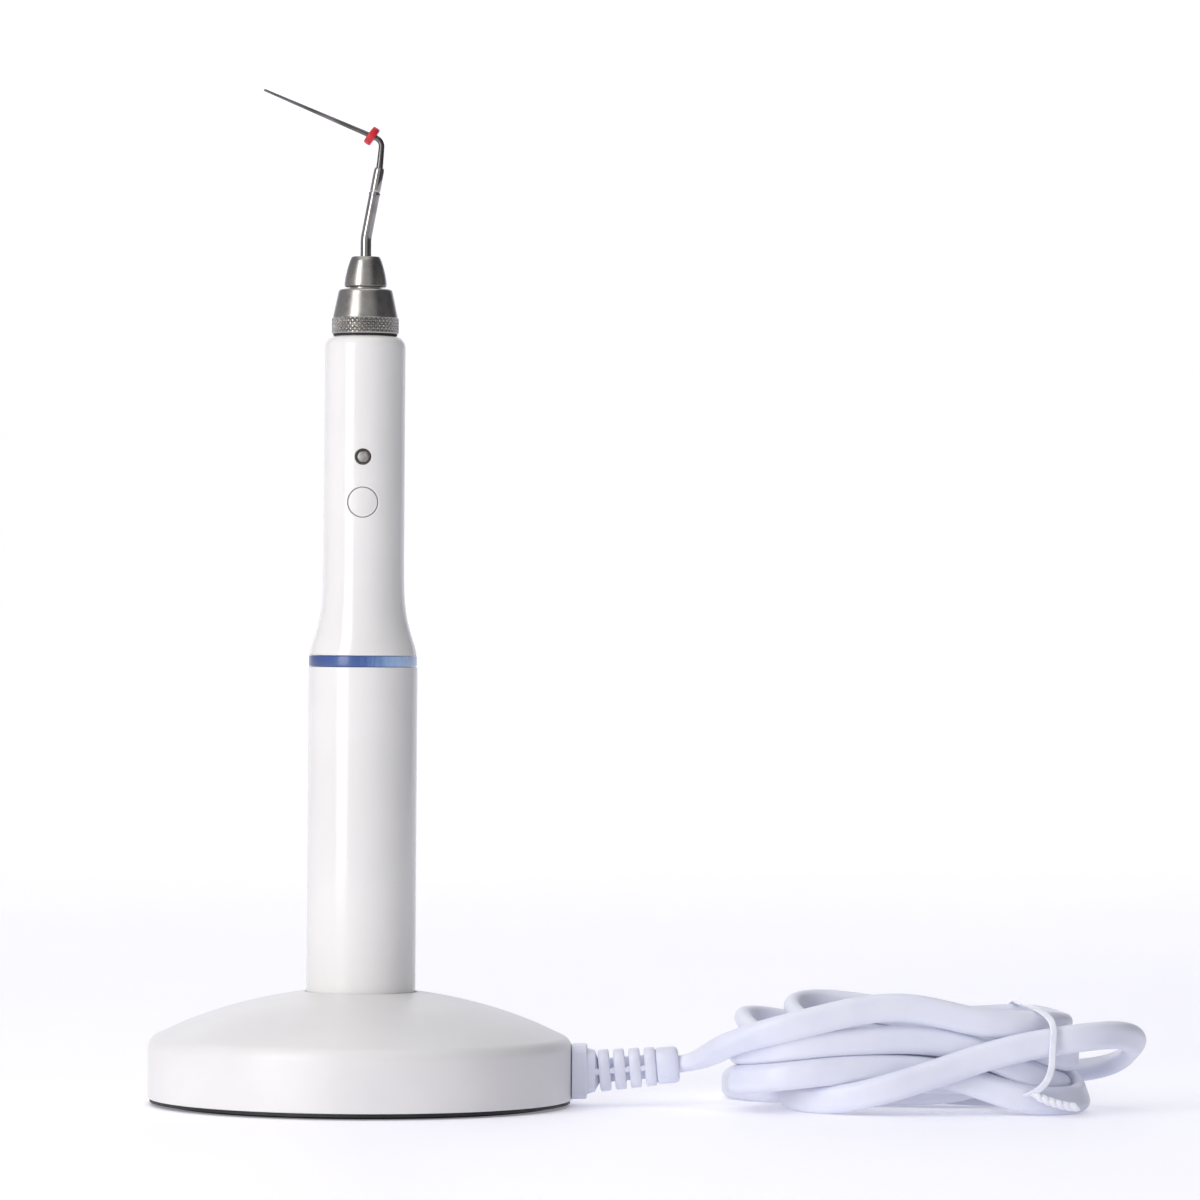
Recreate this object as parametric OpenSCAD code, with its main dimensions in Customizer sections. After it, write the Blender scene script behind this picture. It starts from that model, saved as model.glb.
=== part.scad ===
// Heated obturation pen standing in its round charging base, with its mains cord.
// Origin: centre of the base's underside. +Z is up, -Y is the button side, +X is the cord side.

/* [Charging base] */
// Outer diameter of the base
base_d = 90; // [84:1:100]
// Height of the dome at the mouth of the charging well
base_h = 24; // [23:0.5:26]
// Height at which the side wall turns into the dome
rim_h = 12.6; // [11:0.2:13]
// Wall thickness of the base cover
cover_wall = 2.3; // [2:0.1:2.6]
// Radius of the dome's arc
dome_r = 99; // [90:1:110]
// Radial clearance between the pen and its well
well_gap = 0.3; // [0.2:0.05:0.5]

/* [Pen barrels] */
// Diameter of the rear barrel
rear_d = 23.2; // [22.8:0.1:24]
// Diameter of the front barrel
front_d = 17.2; // [16.8:0.1:18]
// Height of the pen's end above the floor when it is docked
pen_z = 8; // [8:0.1:8.2]
// Height of the light ring's lower edge
ring_z = 92.9; // [92:0.1:94]
// Height of the light ring
ring_h = 2.2; // [1.8:0.1:2.6]
// Height of the front shell's upper end
shell_top = 163; // [162.8:0.1:163.2]
// Wall thickness of the barrels
barrel_wall = 1.5; // [1.3:0.1:1.6]

/* [Controls] */
// Height of the button's centre
button_z = 127.6; // [124:0.2:130]
// Diameter of the button
button_d = 6.2; // [5.6:0.1:6.4]
// How far the button travels
button_travel = 0.45; // [0.3:0.05:0.5]
// Height of the indicator light's centre
led_z = 137.2; // [135:0.2:140]
// Diameter of the indicator's lens
lens_d = 2.6; // [2.4:0.1:3.4]

/* [Tip] */
// Diameter of the knurled band
knurl_d = 14.2; // [13.8:0.1:14.6]
// Diameter of the shank
shank_d = 2.3; // [2:0.1:2.4]
// How far the shank leans to the right, in degrees
shank_lean = 10.5; // [8:0.5:12]
// Angle of the needle above the horizontal, in degrees
needle_angle = 22.9; // [18:0.1:28]
// Length of the straight, tapered needle
needle_len = 25.9; // [22:0.1:28]
// Outer diameter of the silicone stop
stop_d = 4; // [3.6:0.1:4.4]
// Thickness of the silicone stop
stop_t = 1.55; // [1.2:0.05:1.6]

/* [Cord] */
// Width of the flat cord
cord_w = 6; // [5:0.1:6.3]
// Thickness of the flat cord
cord_t = 3.6; // [3:0.1:3.8]
// Length of the bundle
hank_l = 89.5; // [80:0.5:95]
// Width of the bundle
hank_w = 39; // [36:1:42]
// Height of the bundle
hank_h = 24; // [20:0.5:26]

/* [Hidden] */
$fn = 96;
eps = 0.01;
run = 0.1;                       // running clearance on a radius
base_r = base_d / 2;
rear_r = rear_d / 2;
front_r = front_d / 2;
knurl_r = knurl_d / 2;
shank_r = shank_d / 2;
well_r = rear_r + well_gap;

// Base
cover_z = 1.3;                   // lower edge of the cover
plate_z = 0.6;                   // underside of the plate
plate_top = 3.1;
dome_zc = base_h - sqrt(pow(dome_r, 2) - pow(well_r, 2));
edge_r = 3;                      // rounding between side wall and dome
boss_at = 30;
boss_r = 3.2;
foot_in = 36.6;
foot_out = 41.4;
foot_top = 1.6;
cup_wall = 1.5;
cup_z = 5.9;
seat_z = pen_z - 0.1;            // ledge that the pen stands on
block_top = 6.9;
block_r = 8;
pin_r = 0.8;
pin_out = 5;                     // distance of the outer pin from the axis
pin_z = 4.6;                     // lower end of a pin
pin_travel = 0.8;
board_z = 7.5;
board_t = 1.6;
board_top = board_z + board_t;

// Strain relief
relief_x = base_r + 0.1;         // outer face of the base wall
relief_lift = 5;                 // how far the sleeve points up, in degrees
relief_bend_x = 50.3;
relief_bend_z = 7.4;
rib_pitch = 3.25;
sleeve_l = 17.4;

// Cord
lead_path = [[67.6, 0, 8.9], [72, -1.4, 11], [77, -6, 13.2], [82, -12, 14.8]];
tail_path = [[104, 9.5, 3.8], [96, 9.5, 3.2], [87.5, 11.8, 3.1], [81.3, 18, 3.1],
             [79, 26.5, 3.1], [81.3, 35, 3.7], [87.5, 41.2, 5.2], [93.3, 43.5, 6.8]];
hank_x = 76.5;
hank_y = -7.5;
hank_z = 0.1;
tie_x = 141;
tie_w = 31;
tie_h = 21;

// Plug
plug_y = 43.5;
plug_x = 101;
plug_l = 32;
plug_w = 35;
plug_h = 13.7;
plug_pin_gap = 18.6;
plug_pin_r = 2;
plug_pin_l = 19;

// Pen
cell_r = 9.2;
cell_z = 18;
cell_l = 65;
shell_z = ring_z + ring_h + 0.1;
flare_h = 18;                    // height over which the flare fades out
flare_w = 6.5;
flare_power = 1.55;
pcb_y = -2.6;                    // front face of the control board
pcb_t = 1;
pcb_w = 10.4;
pcb_z = 104;
pcb_l = 44;
plunger_y = -3.7;                // inner end of the switch's plunger
neck_r = 6.2;
thread_r = 5.2;
mount_z = 152;
mount_top = 168.5;
bore_r = 4.3;
sleeve_r = bore_r - run;
stem_r = 3.4;
stem_z = 154;
collar_z = 163.4;
knurl_top = 166.8;
collar_top = 172.9;
hub_z = 173.3;
hub_top = 179.8;

// Tip path in the XZ plane: upright, leaning shank, riser, bend, needle
shank_z = 177;
lean_z = 183.6;
lean_l = 15.3;
crimp_l = 9.3;
riser_lean = 5;
riser_l = 4.4;
riser_r = 0.72;
bend_tube = 0.6;
bend_r = 2;
needle_r = 0.56;
needle_end_r = 0.25;
socket_l = 2;
knuckle = 0.02;                  // how far the rounding at a bend stands proud
lean_end = [lean_l * sin(shank_lean), lean_z + lean_l * cos(shank_lean)];
riser_end = lean_end + riser_l * [sin(riser_lean), cos(riser_lean)];
bend_turn = 90 - needle_angle + riser_lean;
bend_c = riser_end + bend_r * [-cos(riser_lean), sin(riser_lean)];
bend_end = bend_c + bend_r * [sin(needle_angle), cos(needle_angle)];
stop_at = 0.95;                  // stop's centre, measured along the needle from the bend
stop_tilt = 12;
stop_bore = needle_r + 0.06;

// ---------- helpers ----------

// Tube with a bore, standing on z
module ring(r_out, r_in, z, h) {
    translate([0, 0, z])
        difference() {
            cylinder(r = r_out, h = h);
            translate([0, 0, -1])
                cylinder(r = r_in, h = h + 2);
        }
}

// Plain disc, standing on z
module disc(r, z, h) {
    translate([0, 0, z])
        cylinder(r = r, h = h);
}

// Cylinder that points forward (-Y), from y_out to y_in at height z
module forward(r, z, y_out, y_in) {
    translate([0, y_in, z])
        rotate([90, 0, 0])
            cylinder(r = r, h = y_in - y_out);
}

// Rectangle with round corners, centred
module round_rect(w, h, r) {
    square([w - 2 * r, h], center = true);
    square([w, h - 2 * r], center = true);
    for (sx = [-1, 1], sy = [-1, 1])
        translate([sx * (w / 2 - r), sy * (h / 2 - r)])
            circle(r = r);
}

// Block along +X from x, with a rounded section of depth dy and height dz about height zc
module along_x(x, l, dy, dz, zc, r) {
    translate([x, 0, zc])
        rotate([90, 0, 90])
            linear_extrude(l)
                round_rect(dy, dz, r);
}

// The four screw places
module at_bosses() {
    for (a = [45 : 90 : 315])
        rotate(a)
            translate([boss_at, 0, 0])
                children();
}

// Points of the dome's arc between two radii, raised by dz
function dome_arc(r1, r2, dz, n) =
    [for (i = [0 : n])
        let (r = r1 + (r2 - r1) * i / n)
            [r, dome_zc + dz + sqrt(pow(dome_r, 2) - pow(r, 2))]];

// Radius of the front shell at height z
function flare(z) = front_r + (rear_r - 0.2 - front_r) * exp(-pow(max(z - shell_z, 0) / flare_w, flare_power));

// Quarter arc in a profile, from angle a1 to a2
function arc(c, r, a1, a2, n) =
    [for (i = [0 : n])
        let (a = a1 + (a2 - a1) * i / n)
            c + r * [cos(a), sin(a)]];

// Smooth curve through the points, with two steps to each span
function spline_point(p0, p1, p2, p3, t) =
    0.5 * (2 * p1 + (p2 - p0) * t + (2 * p0 - 5 * p1 + 4 * p2 - p3) * t * t
           + (3 * p1 - p0 - 3 * p2 + p3) * t * t * t);
function smooth(pts, steps = 2) =
    let (n = len(pts))
        concat([for (i = [0 : n - 2], s = [0 : steps - 1])
            spline_point(pts[max(i - 1, 0)], pts[i], pts[i + 1], pts[min(i + 2, n - 1)], s / steps)],
            [pts[n - 1]]);

function unit(v) = v / norm(v);
function heading(p, i) = unit(p[min(i + 1, len(p) - 1)] - p[max(i - 1, 0)]);
function side_of(d) = unit(cross(d, [0, 0, 1]));

// One ring of the sweep: an oval, h tall and w deep, square to the path
function oval(c, d, w, h, sides) =
    let (s = side_of(d), u = cross(s, d))
        [for (k = [0 : sides - 1])
            let (a = 360 * (k + 0.5) / sides)
                c + s * (w / 2) * cos(a) + u * (h / 2) * sin(a)];

// Closed solid swept along a path
module sweep(path, w, h, sides) {
    n = len(path);
    pts = [for (i = [0 : n - 1]) each oval(path[i], heading(path, i), w, h, sides)];
    walls = [for (i = [0 : n - 2], k = [0 : sides - 1])
        let (a = i * sides + k, b = i * sides + (k + 1) % sides)
            each [[a, b, a + sides], [b, b + sides, a + sides]]];
    first = [[for (k = [sides - 1 : -1 : 0]) k]];
    last = [[for (k = [0 : sides - 1]) (n - 1) * sides + k]];
    polyhedron(points = pts, faces = concat(walls, first, last), convexity = 6);
}

// ---------- charging base ----------

// Domed cover with the well's mouth, the cord's hole and four screw bosses
module base_cover() {
    in_r = base_r - cover_wall;
    wall_r = base_r - 0.3;
    color("white")
        difference() {
            union() {
                rotate_extrude()
                    polygon(concat(
                        [[in_r, cover_z], [base_r, cover_z]],
                        arc([wall_r - edge_r, rim_h - 0.4], edge_r, 0, 62, 5),
                        dome_arc(base_r - 4.4, well_r, 0, 14),
                        [[well_r, base_h - cover_wall]],
                        dome_arc(well_r + 1, in_r - 2.6, -cover_wall, 10),
                        [[in_r - 0.2, rim_h - 1]]));
                at_bosses()
                    disc(boss_r, plate_top, 14);
            }
            at_bosses()
                disc(1.3, plate_top - 1, 10);
            translate([base_r - 5, -4.5, 2.65])
                cube([8, 9, 9.1]);
        }
}

// Black underside plate with a lip under the cover's edge
module base_plate() {
    color("#16171a") {
        difference() {
            union() {
                disc(base_r - 0.4, plate_z, cover_z - plate_z);
                disc(base_r - cover_wall - 0.3, plate_z, plate_top - plate_z);
            }
            ring(foot_out + 0.1, foot_in - 0.1, -1, foot_top + 1);
            at_bosses() {
                disc(2.6, -1, 3.1);
                disc(1.5, -1, 6);
            }
        }
        for (y = [-10, 10])
            translate([34, y, 0])
                disc(1.6, plate_top - eps, board_z - plate_top + eps);
    }
}

// Rubber ring that the base stands on
module foot_ring() {
    color("#222222")
        ring(foot_out, foot_in, 0, foot_top);
}

// Four pan-head screws
module base_screws() {
    color("silver")
        at_bosses()
            union() {
                disc(2.4, 0.8, 1.3);
                disc(1.25, 0.8, 10);
            }
}

// Steel weight round the well
module ballast_ring() {
    color("dimgray")
        ring(25.6, rear_r + 2.6, plate_top, 3);
}

// Cup under the cover that forms the charging well
module socket_cup() {
    color("whitesmoke")
        difference() {
            union() {
                disc(well_r + cup_wall, cup_z, base_h - cover_wall - 0.3 - cup_z);
                disc(well_r + 4.6, 19.2, 1.4);
            }
            disc(well_r, seat_z, 20);
            disc(block_r + 0.1, 0, 20);
        }
}

// Insulating block that carries the sprung pins
module contact_block() {
    color("#1b1b1e")
        difference() {
            union() {
                disc(block_r, 3.3, block_top - 3.3);
                disc(10, 3.3, cup_z - 3.4);
            }
            for (x = [0, pin_out])
                translate([x, 0, 0])
                    disc(1.25, 2, 8);
        }
}

// Sleeve of one sprung pin
module pin_sleeve() {
    difference() {
        disc(1.2, 3.4, block_top - 3.4);
        disc(pin_r + 0.05, pin_z - pin_travel - 0.1, 6);
    }
}

// Both sleeves in the block
module pin_sleeves() {
    color("goldenrod")
        for (x = [0, pin_out])
            translate([x, 0, 0])
                pin_sleeve();
}

// Sprung pin with a rounded head
module charge_pin(x) {
    color("gold")
        translate([x, 0, 0])
            union() {
                disc(pin_r, pin_z, 2.9);
                translate([0, 0, 7.15])
                    sphere(r = pin_r);
            }
}

module charge_pin_centre() { charge_pin(0); }
module charge_pin_outer() { charge_pin(pin_out); }

// Board of the power supply, on the cord's side of the well
module power_board() {
    color("seagreen")
        translate([15.2, -14, board_z])
            cube([21, 28, board_t]);
}

// Ferrite transformer: core, bobbin and winding
module transformer() {
    color("khaki")
        translate([16.6, -13, board_top])
            union() {
                cube([12, 12.5, 1.4]);
                translate([1.2, 1.2, 0])
                    cube([9.6, 10.1, 5.6]);
                translate([0, 4, 0])
                    cube([12, 4.5, 6.2]);
            }
}

// Electrolytic capacitor
module filter_capacitor() {
    color("#2b2f45")
        translate([24, 7.5, 0])
            disc(3.2, board_top, 6.4);
}

// Terminal block for the two cord cores
module terminal_block() {
    color("#2c6d4e")
        translate([30.4, -4.5, board_top])
            difference() {
                cube([5.2, 9, 3.6]);
                for (y = [2.3, 6.7])
                    translate([2.6, y, 1])
                        cylinder(r = 1.2, h = 4);
            }
}

// The cord's two cores between the strain relief and the terminal block
module supply_leads() {
    for (s = [-1, 1])
        color(s < 0 ? "saddlebrown" : "royalblue")
            translate([35.7, s * 1.9, 10.6])
                rotate([0, 90, 0])
                    cylinder(r = 0.75, h = 3.8);
}

// Moulded strain relief: clamp, neck, head and ribbed sleeve
module strain_relief() {
    color("lavender") {
        along_x(39.6, 2.1, 11, 9, 7.7, 1);
        along_x(41.6, relief_x - 41.5, 8.8, 8.8, 7.2, 0.8);
        along_x(relief_x, 3.4, 10.4, 11.4, 7.3, 1.4);
        along_x(relief_x + 3.3, relief_bend_x - relief_x - 3.2, 9.8, 9.6, 7.3, 1.8);
        translate([relief_bend_x, 0, relief_bend_z])
            rotate([0, -relief_lift, 0]) {
                along_x(-0.4, sleeve_l - 3, 8, 5.2, 0, 1.6);
                for (i = [0 : 3])
                    along_x(0.4 + i * rib_pitch, 1.9, 9.6 - 0.2 * i, 8.7 - 0.2 * i, 0, 1.8);
                along_x(sleeve_l - 4.9, 4.9, 8.8, 7.6, 0, 2);
            }
    }
}

// ---------- cord ----------

// Flat cord from the strain relief to the bundle
module cord_lead() {
    color("#dfe2f2")
        sweep(smooth(lead_path), cord_w, cord_t, 8);
}

// Outer shape of the bundled cord
module cord_hank() {
    r = hank_w / 2;
    color("#dfe2f2")
        translate([hank_x + r, hank_y, hank_z])
            linear_extrude(hank_h) {
                circle(r = r);
                translate([hank_l - hank_w, 0])
                    circle(r = r);
                translate([0, -r])
                    square([hank_l - hank_w, hank_w]);
            }
}

// Flat cord from the bundle to the plug
module cord_tail() {
    color("#dfe2f2")
        sweep(smooth(tail_path), cord_t, cord_w, 8);
}

// Tie drawn round the strands
module cord_tie() {
    color("white")
        translate([tie_x, hank_y, hank_h / 2])
            rotate([90, 0, 90])
                linear_extrude(1.2)
                    difference() {
                        round_rect(tie_w, tie_h, 8);
                        round_rect(tie_w - 2.4, tie_h - 2.4, 7);
                    }
}

// Flat two-pin plug lying on the floor
module plug_body() {
    half = plug_w / 2;
    color("#dfe2f2")
        difference() {
            union() {
                translate([plug_x, plug_y, 0])
                    linear_extrude(plug_h)
                        polygon([[0, -7], [6, -8.5], [15, -half + 1.5], [20, -half], [plug_l, -half],
                                 [plug_l, half], [20, half], [15, half - 1.5], [6, 8.5], [0, 7]]);
                translate([plug_x - 7.8, plug_y, plug_h / 2])
                    rotate([0, 90, 0])
                        cylinder(r1 = 3.6, r2 = 5, h = 8);
            }
            for (s = [-1, 1])
                translate([plug_x + plug_l - 6, plug_y + s * plug_pin_gap / 2, plug_h / 2])
                    rotate([0, 90, 0])
                        cylinder(r = plug_pin_r - 0.35, h = 8);
        }
}

// Two round contact pins of the plug
module plug_pins() {
    color("silver")
        for (s = [-1, 1])
            translate([plug_x + plug_l - 6, plug_y + s * plug_pin_gap / 2, plug_h / 2])
                rotate([0, 90, 0])
                    union() {
                        cylinder(r = plug_pin_r - 0.4, h = 6.5);
                        translate([0, 0, 6 + eps])
                            cylinder(r = plug_pin_r, h = plug_pin_l - plug_pin_r / 2);
                        translate([0, 0, 6 + plug_pin_l - plug_pin_r / 2])
                            cylinder(r1 = plug_pin_r, r2 = plug_pin_r / 2, h = plug_pin_r / 2);
                    }
}

// ---------- pen ----------

// White rear barrel
module rear_barrel() {
    color("white")
        ring(rear_r, rear_r - 1.6, pen_z + 2.3, ring_z - pen_z - 2.4);
}

// Cap that closes the pen's lower end
module end_cap() {
    color("whitesmoke")
        difference() {
            union() {
                rotate_extrude()
                    polygon([[0, pen_z], [rear_r - 0.9, pen_z], [rear_r - 0.3, pen_z + 0.6],
                             [rear_r - 0.1, pen_z + 2.2], [0, pen_z + 2.2]]);
                disc(rear_r - 1.7, pen_z + 2.1, 3.8);
            }
            disc(1.85, pen_z - 1, 2);
            ring(6.55, 3.45, pen_z - 1, 2);
        }
}

// Centre charging contact
module contact_disc() {
    color("gold")
        disc(1.8, pen_z, 1);
}

// Ring-shaped charging contact
module contact_ring() {
    color("gold")
        ring(6.5, 3.5, pen_z, 1);
}

// Rechargeable cell with its raised pole
module battery_cell() {
    color("slateblue")
        union() {
            disc(cell_r, cell_z, cell_l - 1);
            disc(3, cell_z, cell_l);
        }
}

// Coil spring under the cell, on its plate
module battery_spring() {
    turns = 2.5;
    low = 14.9;
    high = cell_z - 0.5;
    color("silver") {
        disc(8, pen_z + 5.9, 0.6);
        sweep([for (i = [0 : 40])
            [5 * cos(i * 360 * turns / 40), 5 * sin(i * 360 * turns / 40), low + (high - low) * i / 40]],
            0.8, 0.8, 8);
    }
}

// Plate on the cell's upper pole
module battery_plate() {
    color("silver")
        disc(7, cell_z + cell_l + 0.05, 0.5);
}

// Ring-shaped board with the lamps of the light ring
module ring_board() {
    color("seagreen")
        ring(8.6, 5, 90.4, 0.8);
    color("ivory")
        for (a = [0 : 60 : 300])
            rotate(a)
                translate([6.3, -0.6, 91.2 - eps])
                    cube([1.2, 1.2, 0.6]);
}

// Translucent ring with a spigot into each barrel
module light_ring() {
    color("#3f6fb5")
        difference() {
            union() {
                disc(rear_r - 0.1, ring_z, ring_h);
                disc(rear_r - 1.7, 88, ring_z - 88 + eps);
                disc(9.3, ring_z + ring_h - eps, 2.2);
            }
            disc(8.7, 87, 7);
            disc(8.2, 87, 12);
        }
}

// White front shell with its flare, its shoulder, and the button and lens holes
module front_shell() {
    shoulder = 2.6;
    flare_top = shell_z + flare_h;
    inner_top = shell_top - 5.4;
    color("white")
        difference() {
            rotate_extrude()
                polygon(concat(
                    [for (i = [0 : 14]) let (z = shell_z + flare_h * i / 14) [flare(z), z]],
                    [[front_r, flare_top + 1]],
                    arc([front_r - shoulder, shell_top - shoulder], shoulder, 0, 66, 5),
                    [[neck_r + 0.1, shell_top], [neck_r + 0.1, inner_top],
                     [front_r - barrel_wall, inner_top]],
                    [for (i = [14 : -1 : 0])
                        let (z = shell_z + flare_h * i / 14) [flare(z) - barrel_wall, z]]));
            forward(button_d / 2 + 0.15, button_z, -12, -4);
            forward(lens_d / 2 + 0.42, led_z, -12, -4);
        }
}

// Long control board
module control_board() {
    color("seagreen")
        translate([-pcb_w / 2, pcb_y, pcb_z])
            cube([pcb_w, pcb_t, pcb_l]);
}

// Heater driver chip on the back of the board
module driver_chip() {
    color("#202124")
        translate([-2.5, pcb_y + pcb_t, 114])
            cube([5, 1, 6]);
}

// Housing of the push switch, with the bore of its plunger
module tact_switch() {
    color("#2a2b30")
        difference() {
            translate([-2.2, -4.5, button_z - 2.2])
                cube([4.4, 4.5 + pcb_y, 4.4]);
            forward(0.9, button_z, -6, plunger_y + button_travel + 0.05);
        }
}

// Lamp under the indicator lens
module indicator_led() {
    color("ivory")
        translate([-1.5, pcb_y - 1, led_z - 1])
            cube([3, 1, 2]);
}

// Clear lens with its light pipe
module indicator_lens() {
    color("#c8c6c2")
        union() {
            intersection() {
                forward(lens_d / 2, led_z, -9, -6.9);
                translate([0, -5.6, led_z])
                    sphere(r = 3.1);
            }
            forward(1.2, led_z, -7, pcb_y - 1.1);
        }
}

// Dark rim round the lens
module lens_bezel() {
    color("#3a3634")
        difference() {
            forward(lens_d / 2 + 0.36, led_z, -front_r - 0.02, -7.3);
            forward(lens_d / 2 + 0.04, led_z, -12, -4);
        }
}

// Two wires from the cell to the control board
module pen_leads() {
    for (s = [-1, 1])
        color(s < 0 ? "firebrick" : "#202124")
            translate([s * 3, -0.9, 0])
                disc(0.5, cell_z + cell_l + 0.55, 22.4);
}

// ---------- nose ----------

// Metal mount in the front shell: plug, neck and threaded spigot
module nose_mount() {
    color("silver")
        difference() {
            union() {
                disc(front_r - barrel_wall - 0.1, mount_z, 5.4);
                disc(neck_r, mount_z, shell_top - mount_z);
                disc(thread_r, mount_z, mount_top - mount_z);
            }
            disc(bore_r, mount_z - 1, 20);
        }
}

// Dark ring in the seam under the collar
module nose_seal() {
    color("#2b2a29")
        ring(6.8, thread_r + run, shell_top + 0.03, 0.32);
}

// Insulating disc of the tip's socket
module socket_insulator() {
    color("ivory")
        ring(bore_r - 0.02, 1.05, mount_z + 0.2, 1.1);
}

// Centre contact of the tip's socket
module centre_contact() {
    color("goldenrod")
        disc(1, 147, 9.5);
}

// Locking collar: knurled band and lower cone
module lock_collar() {
    color("#8d8883")
        rotate_extrude()
            polygon(concat(
                [[thread_r + run, collar_z], [knurl_r - 0.25, collar_z], [knurl_r, collar_z + 0.25],
                 [knurl_r, knurl_top - 0.2], [knurl_r - 0.25, knurl_top]],
                arc([4.7, collar_top - 0.9], 0.9, 15, 90, 4),
                [[stem_r + 0.2, collar_top], [stem_r + 0.2, mount_top + 0.5],
                 [thread_r + run, mount_top + 0.5]]));
}

// Contact sleeve that turns in the nose mount and holds the tip
module swivel_sleeve() {
    color("goldenrod")
        ring(sleeve_r, stem_r + run, mount_z + 1.5, 14.5);
}

// ---------- tip ----------

// Tip's hub: stem in the sleeve, cone above the collar
module tip_hub() {
    color("#97928c")
        difference() {
            union() {
                disc(stem_r, stem_z, hub_z - stem_z + eps);
                rotate_extrude()
                    polygon(concat(
                        [[0, hub_z], [4.2, hub_z], [4.5, hub_z + 0.3]],
                        [for (i = [1 : 6])
                            let (u = i / 6) [4.5 - 1.3 * pow(u, 1.6), hub_z + 0.3 + 5.7 * u]],
                        [[2.7, hub_top], [0, hub_top]]));
            }
            disc(1.15, stem_z - 1, 4);
            disc(shank_r + 0.05, shank_z, 5);
        }
}

// Moves children to the leaning part of the shank, l along it
module on_lean(l) {
    translate([0, 0, lean_z])
        rotate([0, shank_lean, 0])
            translate([0, 0, l])
                children();
}

// Upright and leaning part of the shank
module tip_shank() {
    color("#b9b7b4")
        union() {
            disc(shank_r, shank_z + 0.05, lean_z - shank_z - 0.05);
            translate([0, 0, lean_z])
                sphere(r = shank_r + knuckle);
            on_lean(0)
                cylinder(r = shank_r, h = crimp_l);
        }
}

// Ferrule that joins the needle's tube to the shank
module needle_ferrule() {
    color("#a9a6a2")
        on_lean(crimp_l)
            difference() {
                union() {
                    cylinder(r = shank_r + 0.08, h = 0.8);
                    cylinder(r = shank_r - 0.05, h = lean_l - crimp_l - 0.4);
                    translate([0, 0, lean_l - crimp_l - 0.4 - eps])
                        cylinder(r1 = shank_r - 0.05, r2 = shank_r - 0.2, h = 0.4);
                }
                translate([0, 0, lean_l - crimp_l - socket_l])
                    cylinder(r = riser_r + 0.03, h = 5);
            }
}

// Needle: socketed tube, riser, bend and tapered working end
module plugger_needle() {
    color("#c3c2c0")
        union() {
            on_lean(lean_l - socket_l + 0.05)
                cylinder(r = riser_r, h = socket_l - 0.05);
            translate([lean_end[0], 0, lean_end[1]]) {
                sphere(r = riser_r + knuckle);
                rotate([0, riser_lean, 0])
                    cylinder(r1 = riser_r, r2 = bend_tube, h = riser_l);
            }
            translate([riser_end[0], 0, riser_end[1]])
                sphere(r = bend_tube + knuckle);
            translate([bend_c[0], 0, bend_c[1]])
                rotate([90, 0, 0])
                    rotate(-riser_lean)
                        rotate_extrude(angle = bend_turn)
                            translate([bend_r, 0])
                                circle(r = bend_tube, $fn = 48);
            translate([bend_end[0], 0, bend_end[1]])
                sphere(r = bend_tube + knuckle);
            translate([bend_end[0], 0, bend_end[1]])
                rotate([0, needle_angle - 90, 0]) {
                    cylinder(r1 = needle_r, r2 = needle_end_r, h = needle_len - needle_end_r);
                    translate([0, 0, needle_len - needle_end_r])
                        sphere(r = needle_end_r);
                }
        }
}

// Silicone depth stop, leaning a little on the needle
module silicone_stop() {
    color("#d3202b")
        translate([bend_end[0], 0, bend_end[1]])
            rotate([0, needle_angle - 90, 0])
                translate([0, 0, stop_at])
                    difference() {
                        rotate([0, stop_tilt, 0])
                            cylinder(d = stop_d, h = stop_t, center = true);
                        cylinder(r = stop_bore, h = 5, center = true);
                    }
}

// ---------- button ----------

// Flush round button with a retaining flange
module power_button() {
    color("white") {
        intersection() {
            forward(button_d / 2, button_z, -12, -5.6);
            disc(front_r, button_z - 5, 10);
        }
        intersection() {
            forward(button_d / 2 + 0.8, button_z, -7, -5.2);
            disc(front_r - barrel_wall - 0.15, button_z - 5, 10);
        }
    }
}

// Plunger of the push switch
module switch_plunger() {
    color("#c9b48a")
        forward(0.8, button_z, -5.15, plunger_y);
}

base_cover();
base_plate();
foot_ring();
base_screws();
ballast_ring();
socket_cup();
contact_block();
pin_sleeves();
charge_pin_centre();
charge_pin_outer();
power_board();
transformer();
filter_capacitor();
terminal_block();
supply_leads();
strain_relief();
cord_lead();
cord_hank();
cord_tail();
cord_tie();
plug_body();
plug_pins();
rear_barrel();
end_cap();
contact_disc();
contact_ring();
battery_cell();
battery_spring();
battery_plate();
ring_board();
light_ring();
front_shell();
control_board();
driver_chip();
tact_switch();
indicator_led();
indicator_lens();
lens_bezel();
pen_leads();
nose_mount();
nose_seal();
socket_insulator();
centre_contact();
lock_collar();
swivel_sleeve();
tip_hub();
tip_shank();
needle_ferrule();
plugger_needle();
silicone_stop();
power_button();
switch_plunger();
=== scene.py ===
"""Heated obturation pen docked in its domed charging base, with its bundled flat cord.

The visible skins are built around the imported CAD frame, and the inner parts keep their CAD meshes
with finishes of their own. Sizes are in millimetres until a mesh is made, which is in metres:
+Z is up along the docked pen, -Y towards the button and +X towards the cord.
"""

import logging
import math
from collections.abc import Callable, Sequence
from dataclasses import dataclass
from enum import Enum

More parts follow.
